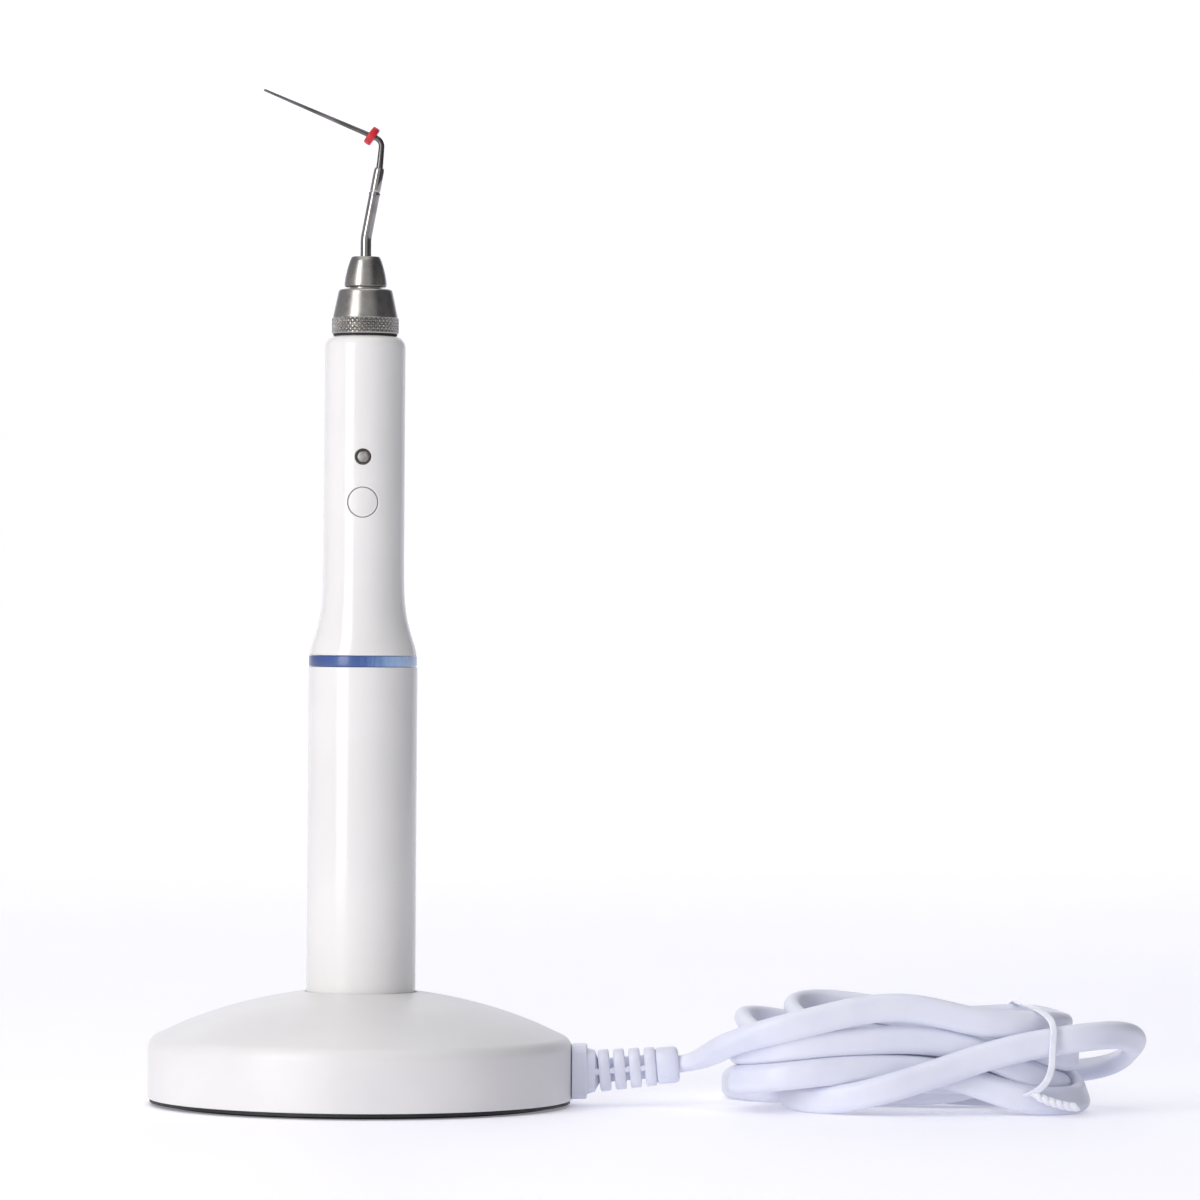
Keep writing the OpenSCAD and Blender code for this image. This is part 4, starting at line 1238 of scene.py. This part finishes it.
@dataclass
class FrontShell:
    """Gloss white front barrel: flare above the light ring, shoulder at the nose, two openings."""

    low: float = 95.2
    top: float = 163.0
    radius: float = 8.6
    flare: float = 2.8
    fade: float = 6.5
    power: float = 1.55
    shoulder: float = 2.6
    neck: float = 6.3
    wall: float = 1.5
    windows: tuple[Window, ...] = (Window(127.6, 3.25, 1.0), Window(137.2, 1.72, 0.65))
    columns: int = 144
    half_window: int = 12
    margin: float = 0.9
    softened: float = 0.14

    def outer(self, z: np.ndarray) -> np.ndarray:
        """Outside radius at a height: 8.6 + 2.8 exp(-((z - 95.2) / 6.5)^1.55)."""
        above = np.maximum(z - self.low, 0) / self.fade
        return self.radius + self.flare * np.exp(-above ** self.power)

    def carried(self, r: np.ndarray, z: np.ndarray) -> np.ndarray:
        """Carry columns of radii and heights round the axis, with the middle one at -Y."""
        start, order = -math.pi / 2, np.arange(self.columns) - self.columns // 2
        angle = start + order * FULL_TURN / self.columns
        return np.stack([r * np.cos(angle), r * np.sin(angle), z + 0 * angle], -1)

    def wall_rows(self, skin: Skin, heights: np.ndarray,
                  inset: float) -> tuple[np.ndarray, list[np.ndarray]]:
        """Add one face of the wall, with each opening's square patch run down to its circle.

        The patch's points lie on straight lines, in the front view, from the square's edge to
        the circle, and each is carried back onto the barrel by y = -sqrt(r(z)^2 - x^2).

        Args:
            skin: where it goes.
            heights: the rows' heights.
            inset: how far this face is inside the outer one.

        Returns:
            The grid's point numbers, and each circle's.
        """
        grid = self.carried(self.outer(heights)[:, None] - inset, heights[:, None])
        numbers = skin.rows(grid)
        keep = np.ones((len(heights) - 1, self.columns), bool)
        circles = []
        middle = self.columns // 2
        for window in self.windows:
            w = int(self.half_window * window.share)
            reach = window.radius + self.margin
            low = int(np.searchsorted(heights, window.height - reach))
            high = int(np.searchsorted(heights, window.height + reach))
            keep[low:high, middle - w:middle + w] = False
            rim, flat = (
                np.concatenate([array[low, middle - w:middle + w], array[low:high, middle + w],
                                array[high, middle + w:middle - w:-1],
                                array[high:low:-1, middle - w]])
                for array in (numbers, grid))
            around = np.arctan2(flat[:, 2] - window.height, flat[:, 0])
            soft = self.softened if inset == 0 else 0.0
            goal = (window.radius + soft) * np.stack([np.cos(around), np.sin(around)], 1)
            goal[:, 1] += window.height
            step = np.linspace(0, 1, 9)[1:, None, None]
            xz = flat[None, :, [0, 2]] * (1 - step) + goal[None] * step
            depth = np.sqrt((self.outer(xz[..., 1]) - inset) ** 2 - xz[..., 0] ** 2)
            rings = np.stack([xz[..., 0], -depth, xz[..., 1]], -1)
            if soft:
                a = np.linspace(0, math.pi / 2, 4)[1:, None]
                edge = (window.radius + soft * (1 - np.sin(a)))
                turn = np.stack([edge * np.cos(around), -depth[-1] + soft * (1 - np.cos(a)),
                                 window.height + edge * np.sin(around)], -1)
                rings = np.concatenate([rings, turn])
            patch = np.vstack([rim[None], skin.rows(rings)])
            skin.weave(patch)
            circles.append(patch[-1])
        skin.weave(numbers, keep=keep)
        return numbers, circles

    def build(self) -> Piece:
        """Make both faces of the wall, the openings' edges, the shoulder and the lower lip.

        Returns:
            The piece.
        """
        straight = self.top - self.shoulder
        heights = np.concatenate([np.linspace(self.low + 0.12, 114, 48)[:-1],
                                  np.arange(114, 150, 0.5), np.linspace(150, straight, 14)])
        skin = Skin()
        outer, outer_holes = self.wall_rows(skin, heights, 0.0)
        inner, inner_holes = self.wall_rows(skin, heights, self.wall)
        for out_ring, in_ring in zip(outer_holes, inner_holes):
            skin.weave(np.stack([out_ring, in_ring]))
        a = np.radians(np.linspace(0, 66, 13))[1:]
        arc = np.stack([self.radius - self.shoulder + self.shoulder * np.cos(a),
                        straight + self.shoulder * np.sin(a)], 1)
        nose = np.vstack([arc, [[self.neck, self.top - 0.02], [self.neck, self.top - 1.5]]])
        top = skin.rows(self.carried(nose[:, :1], nose[:, 1:]))
        skin.weave(np.vstack([outer[-1:], top, inner[-1:]]))
        lip_r = self.outer(np.array([self.low]))[0]
        lip = np.array([[lip_r - 0.12, self.low], [lip_r - self.wall + 0.1, self.low]])
        under = skin.rows(self.carried(lip[:, :1], lip[:, 1:]))
        skin.weave(np.vstack([outer[:1], under, inner[:1]]))
        made = skin.piece("front_barrel", sharp=math.radians(50))
        return settle(made, "pen", PEN_ABS, ("front_shell",))


@dataclass
class PenBody:
    """The pen's outside: rear barrel, light ring, front barrel, lens and its rim."""

    rear_r: float = 11.6
    rear_low: float = 10.3
    rear_wall: float = 1.6
    ring_low: float = 92.9
    ring_high: float = 95.1
    lens_z: float = 137.2

    def rear(self) -> Piece:
        """Rear barrel: a plain tube with softened ends."""
        r, low, high = self.rear_r, self.rear_low, self.ring_low - 0.1
        bore, half_way = r - self.rear_wall, (low + high) / 2
        profile = rounded([(bore, half_way, 0), (bore, low, 0.1), (r, low, 0.2), (r, high, 0.28),
                           (bore, high, 0.1), (bore, half_way + 1, 0)])
        return settle_turned("rear_barrel_tube", profile, 144, "pen", PEN_ABS, "rear_barrel")

    def ring(self) -> Piece:
        """Light ring: a band a little inside the barrels' edges, with its spigots."""
        r, low, high = self.rear_r - 0.12, self.ring_low, self.ring_high
        profile = rounded([(8.75, 92, 0), (8.75, 88, 0), (9.9, 88, 0.2), (9.9, low, 0),
                           (r, low, 0.12), (r, high, 0.12), (9.3, high, 0), (9.3, high + 2.2, 0.2),
                           (8.25, high + 2.2, 0), (8.25, 94, 0)])
        return settle_turned("light_guide_ring", profile, 144, "pen", RING_PC, "light_ring")

    def forward(self, grid: np.ndarray) -> np.ndarray:
        """Lay a turned grid on the lens's own axis, so that its heights point to the front."""
        return np.stack([grid[..., 0], -grid[..., 2], self.lens_z + grid[..., 1]], -1)

    def lens(self) -> None:
        """Domed lens with its light pipe, and the dark rim round it, which is painted shadow of the
        gap round the lens.
        """
        dome = np.linspace(1.22, 0, 10)
        crown = 5.45 + np.sqrt(3.1 ** 2 - dome ** 2)
        pipe = rounded([(0, 3.75, 0), (1.2, 3.75, 0.1), (1.2, 6.9, 0), (1.28, 6.9, 0.05),
                        (1.28, 8.1, 0.1)])
        settle_turned("indicator_window", np.vstack([pipe, np.stack([dome, crown], 1)]), 64, "pen",
                      LENS_ACRYLIC, "indicator_lens", loop=False, place=self.forward)
        # The dark rim paints the shadow in the gap round the lens.
        rim = rounded([(1.33, 8.1, 0), (1.36, 8.6, 0.08), (1.6, 8.62, 0.12), (1.65, 7.35, 0),
                       (1.33, 7.35, 0)], 6)
        settle_turned("indicator_rim", rim, 64, "pen", GAP_SHADOW_RIM, "lens_bezel",
                      place=self.forward)

    def build(self) -> None:
        """Build the pen's outside."""
        self.rear()
        self.ring()
        FrontShell().build()
        self.lens()


@dataclass
class ButtonCap:
    """Round push button, flush with the barrel and curved like it."""

    height: float = 127.6
    radius: float = 3.1
    barrel: float = 8.58
    back: float = 5.3
    edge: float = 0.16
    flange: float = 0.75
    flange_depth: float = 1.65
    columns: int = 96

    def build(self) -> Piece:
        """Make the cap: rings from the middle out follow y = -sqrt(8.58^2 - x^2), then fall back.

        Returns:
            The piece.
        """
        a = np.arange(self.columns) * FULL_TURN / self.columns
        edge, bevel = self.edge, np.radians([30, 60, 90])
        r = np.concatenate([np.linspace(0, self.radius - edge, 12)[1:],
                            self.radius - edge + edge * np.sin(bevel)])[:, None]
        x, z = r * np.cos(a), self.height + r * np.sin(a)
        fall = np.concatenate([np.zeros(11), edge * (1 - np.cos(bevel))])[:, None]
        front = np.stack([x, -np.sqrt(self.barrel ** 2 - x ** 2) + fall, z], -1)
        widest = self.radius + self.flange
        flange_r = np.array([self.radius, widest, widest, 0.5])[:, None]
        flange_x = flange_r * np.cos(a)
        inside = -np.sqrt((self.barrel - self.flange_depth) ** 2 - flange_x ** 2)
        flat_back = np.full(self.columns, -self.back)
        depth = np.stack([inside[0], inside[1], flat_back, flat_back])
        behind = np.stack([flange_x, depth, self.height + flange_r * np.sin(a)], -1)
        skin = Skin()
        numbers = skin.rows(np.concatenate([front, behind]))
        skin.weave(numbers)
        skin.close(numbers[0][::-1], (0, -self.barrel, self.height))
        skin.close(numbers[-1], (0, -self.back, self.height))
        return settle(skin.piece("push_button_cap"), "button", TRIM_ABS, ("power_button",))


# ---------------------------------------------------------------- nose and tip

@dataclass
class LockCollar:
    """Turned collar: a diamond-knurled band under a satin cone."""

    low: float = 163.4
    knurl_low: float = 163.75
    knurl_high: float = 166.6
    radius: float = 7.1
    depth: float = 0.42
    diamonds: int = 44
    lead: float = 1.15
    columns: int = 396

    def knurl(self, profile: np.ndarray) -> np.ndarray:
        """Turn the profile, and cut the band's grooves.

        The grooves are two crossed families where frac(n a / 2 pi + z / lead) and
        frac(n a / 2 pi - z / lead) are near 0, so the land between them is a diamond.

        Args:
            profile: (radius, height) points.

        Returns:
            The grid.
        """
        grid = turned(profile, self.columns)
        a = np.arange(self.columns) * FULL_TURN / self.columns
        z = profile[:, 1:] - self.knurl_low
        ways = [np.abs(((self.diamonds * a / FULL_TURN + s * z / self.lead) % 1) * 2 - 1)
                for s in (1, -1)]
        groove = np.clip(np.maximum(*ways) * 1.9 - 0.9, 0, 1)
        height = z[:, 0]
        on_band = ((profile[:, 0] > self.radius - 0.01) & (height >= 0)
                   & (height <= self.knurl_high - self.knurl_low))
        cut = 1 - groove * on_band[:, None] * self.depth / self.radius
        grid[..., :2] *= cut[..., None]
        return grid

    def build(self) -> Piece:
        """Make the collar."""
        foot = rounded([(5.3, self.low, 0), (6.95, self.low, 0.1),
                        (self.radius, self.low + 0.28, 0.05), (self.radius, self.knurl_low, 0)])
        band = np.stack([np.full(34, self.radius),
                         np.linspace(self.knurl_low, self.knurl_high, 34)], 1)
        cone = rounded([(self.radius, self.knurl_high + 0.05, 0), (6.84, 166.85, 0.08),
                        (6.8, 167.3, 0.4),
                        (5.62, 172.9, 0.75), (3.62, 172.9, 0.12), (3.62, 169.0, 0),
                        (5.32, 169.0, 0)], 7)
        skin = Skin()
        numbers = skin.rows(self.knurl(np.vstack([foot, band, cone])))
        skin.weave(numbers, wrap_rows=True)
        return settle(skin.piece("knurled_collar", sharp=math.radians(30)), "collar", TURNED_STEEL,
                      ("lock_collar",))


@dataclass
class PluggerTip:
    """Steel tip: hub, leaning shank, ferrule and the bent, tapered needle."""

    lean_z: float = 183.6
    lean: float = 10.5
    crimp: float = 9.3
    lean_length: float = 15.3
    riser_lean: float = 5.0
    riser: float = 4.4
    bend_r: float = 2.0
    needle_angle: float = 22.9
    needle: float = 25.9

    def slant(self, distance: float) -> np.ndarray:
        """Point on the leaning shank's axis, a distance along it."""
        a = math.radians(self.lean)
        return np.array([distance * math.sin(a), 0.0, self.lean_z + distance * math.cos(a)])

    def away(self) -> np.ndarray:
        """Direction of the needle's straight part."""
        n = math.radians(self.needle_angle)
        return np.array([-math.cos(n), 0, math.sin(n)])

    def riser_bend(self) -> tuple[np.ndarray, np.ndarray, np.ndarray]:
        """Both ends of the riser, and the centre of the bend over it."""
        r, start = math.radians(self.riser_lean), self.slant(self.lean_length)
        top = start + self.riser * np.array([math.sin(r), 0, math.cos(r)])
        return start, top, top + self.bend_r * np.array([-math.cos(r), 0, math.sin(r)])

    def bend_end(self) -> np.ndarray:
        """Point where the needle's straight part starts."""
        n = math.radians(self.needle_angle)
        return self.riser_bend()[2] + self.bend_r * np.array([math.sin(n), 0, math.cos(n)])

    def tube(self, name: str, path: np.ndarray, radii: np.ndarray, stands_for: str,
             finish: Finish = POLISHED_TUBE) -> Piece:
        """Round tube along a path in the XZ plane, with rounded ends.

        Args:
            name: the piece's name.
            path: centre points.
            radii: radius at each.
            stands_for: the CAD node.
            finish: what it is made of.

        Returns:
            The piece.
        """
        ahead = np.gradient(path, axis=0)
        ahead /= np.linalg.norm(ahead, axis=1)[:, None]
        painted_shade_blue = np.tile([0.0, 1.0, 0.0], (len(path), 1))
        skin = Skin()
        circle = turned(np.array([[1.0, 0.0]]), 40)[0, :, :2]
        add_swept(skin, path, np.cross(painted_shade_blue, ahead), painted_shade_blue, circle[None] * radii[:, None, None])
        return settle(skin.piece(name, sharp=math.radians(40)), "tip", finish, (stands_for,))

    def hub(self) -> Piece:
        """Hub: stem in the collar, and a cone whose side is r = 4.5 - 1.3 u^1.6 up to its rim."""
        u = np.linspace(0.04, 0.97, 22)
        side = np.stack([4.5 - 1.3 * u ** 1.6, 173.6 + 5.7 * u], 1)
        foot = rounded([(0, 154, 0), (3.4, 154, 0.3), (3.4, 173.3, 0.05), (4.25, 173.3, 0.12),
                        (4.5, 173.6, 0.1), (4.49, 173.9, 0)])
        rim = rounded([(3.25, 179.15, 0), (2.95, 179.8, 0.3), (1.55, 179.8, 0.1), (1.22, 179.45, 0),
                       (1.22, 177.2, 0), (0, 177.2, 0)], 6)
        return settle_turned("tip_hub_cone", np.vstack([foot, side, rim]), 144, "tip", TURNED_STEEL,
                             "tip_hub", loop=False)

    def shank(self) -> None:
        """Shank: upright, then through a short bend into its lean."""
        reach = 0.9
        u = np.linspace(0, 1, 9)[:, None]
        start, corner = np.array([0, 0, self.lean_z - reach]), np.array([0, 0, self.lean_z])
        end = self.slant(reach)
        bend = (1 - u) ** 2 * start + 2 * u * (1 - u) * corner + u ** 2 * end
        path = np.vstack([[0, 0, 177.1], [0, 0, 179.8], bend, self.slant(self.crimp / 2),
                          self.slant(self.crimp)])
        self.tube("tip_shank_tube", path, np.full(len(path), 1.15), "tip_shank")
        spots = np.array([0, 0.06, 0.5, 0.62, 0.7, 0.78, 0.9, 1.3, 5.3, 5.7, 6.0])
        radii = np.array([1.12, 1.22, 1.23, 1.2, 1.02, 1.0, 1.1, 1.1, 1.1, 1.02, 0.9])
        path = np.array([self.slant(self.crimp + s) for s in spots])
        self.tube("needle_ferrule_sleeve", path, radii, "needle_ferrule")

    def wire(self) -> None:
        """Needle: riser, bend and the straight part that tapers to a rounded end."""
        low = self.slant(self.lean_length - 2)
        r, n = math.radians(self.riser_lean), math.radians(self.needle_angle)
        start, top, centre = self.riser_bend()
        a = np.linspace(-r, math.pi / 2 - n, 18)[1:, None]
        bend = centre + self.bend_r * np.hstack([np.cos(a), 0 * a, np.sin(a)])
        run = np.concatenate([np.linspace(0.4, self.needle - 0.3, 24),
                              self.needle - 0.3 * np.array([0.6, 0.3, 0.06])])
        path = np.vstack([low, start, start + (top - start) * 0.5, top, bend,
                          bend[-1] + np.outer(run, self.away())])
        taper = 0.56 - 0.31 * run[:24] / self.needle
        radii = np.concatenate([[0.72, 0.72, 0.66, 0.61], np.full(17, 0.6), taper,
                                [0.22, 0.16, 0.06]])
        self.tube("plugger_wire", path, radii, "plugger_needle", GROUND_WIRE)

    def build(self) -> None:
        """Build the tip."""
        self.hub()
        self.shank()
        self.wire()


@dataclass
class DepthStop:
    """Red silicone ring on the needle, tilted a little."""

    at: float = 0.95
    tilt: float = 12.0
    radius: float = 2.0
    thickness: float = 1.55
    bore: float = 0.62

    def build(self, tip: PluggerTip) -> Piece:
        """Turn the ring on its own axis, then tilt it and set it on the needle.

        Args:
            tip: the tip, for the needle's place and direction.

        Returns:
            The piece.
        """
        half = self.thickness / 2
        profile = rounded([(self.bore, 0, 0), (self.bore, -half, 0.1), (self.radius, -half, 0.28),
                           (self.radius + 0.04, 0, 0.4), (self.radius, half, 0.28),
                           (self.bore, half, 0.1), (self.bore, 0.02, 0)], 6)
        centre = tip.bend_end() + self.at * tip.away()
        lean = math.radians(tip.needle_angle) + math.radians(self.tilt)
        axis = np.array([-math.cos(lean), 0, math.sin(lean)])
        side = np.array([0.0, 1.0, 0.0])
        up = np.cross(side, axis)
        return settle_turned(
            "silicone_stop_ring", profile, 64, "depth_stop", STOP_SILICONE, "silicone_stop",
            place=lambda g: centre + g[..., :1] * up + g[..., 1:2] * side + g[..., 2:] * axis)


# ---------------------------------------------------------------- CAD nodes that stay

@dataclass
class InnerParts:
    """CAD nodes whose shape stays: each gets the finish of what it is made of."""

    def build(self) -> None:
        """Dress every node that stays."""
        finishes = {
            "base_plate": BLACK_NYLON, "foot_ring": FOOT_RUBBER, "base_screws": PLATED_STEEL,
            "ballast_ring": CAST_IRON, "socket_cup": TRIM_ABS, "contact_block": BLACK_NYLON,
            "pin_sleeves": GOLD_PLATE, "charge_pin_centre": GOLD_PLATE,
            "charge_pin_outer": GOLD_PLATE,
            "power_board": SOLDER_MASK, "transformer": COIL_TAPE, "filter_capacitor": CAN_SLEEVE,
            "terminal_block": TERMINAL_NYLON, "supply_leads": LEAD_SILICONE, "end_cap": TRIM_ABS,
            "contact_disc": GOLD_PLATE, "contact_ring": GOLD_PLATE, "battery_cell": CELL_WRAP,
            "battery_spring": PLATED_STEEL, "battery_plate": PLATED_STEEL,
            "ring_board": SOLDER_MASK,
            "control_board": SOLDER_MASK, "driver_chip": BLACK_NYLON, "tact_switch": BLACK_NYLON,
            "indicator_led": TRIM_ABS, "pen_leads": LEAD_SILICONE, "nose_mount": PLATED_STEEL,
            "nose_seal": FOOT_RUBBER, "socket_insulator": TRIM_ABS, "centre_contact": GOLD_PLATE,
            "swivel_sleeve": GOLD_PLATE, "switch_plunger": LEAD_SILICONE,
        }
        for name, finish in finishes.items():
            finish.dress(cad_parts[name])
        log.info("finishes on %d CAD nodes", len(finishes))


def main() -> None:
    """Build the studio and every sub-assembly, camera and cord first."""
    logging.basicConfig(level=logging.INFO, format="%(name)s: %(message)s")
    Studio().build()
    CordSet().build()
    BaseShell().build()
    PenBody().build()
    ButtonCap().build()
    LockCollar().build()
    tip = PluggerTip()
    tip.build()
    DepthStop().build(tip)
    InnerParts().build()


if __name__ == "__main__":
    main()
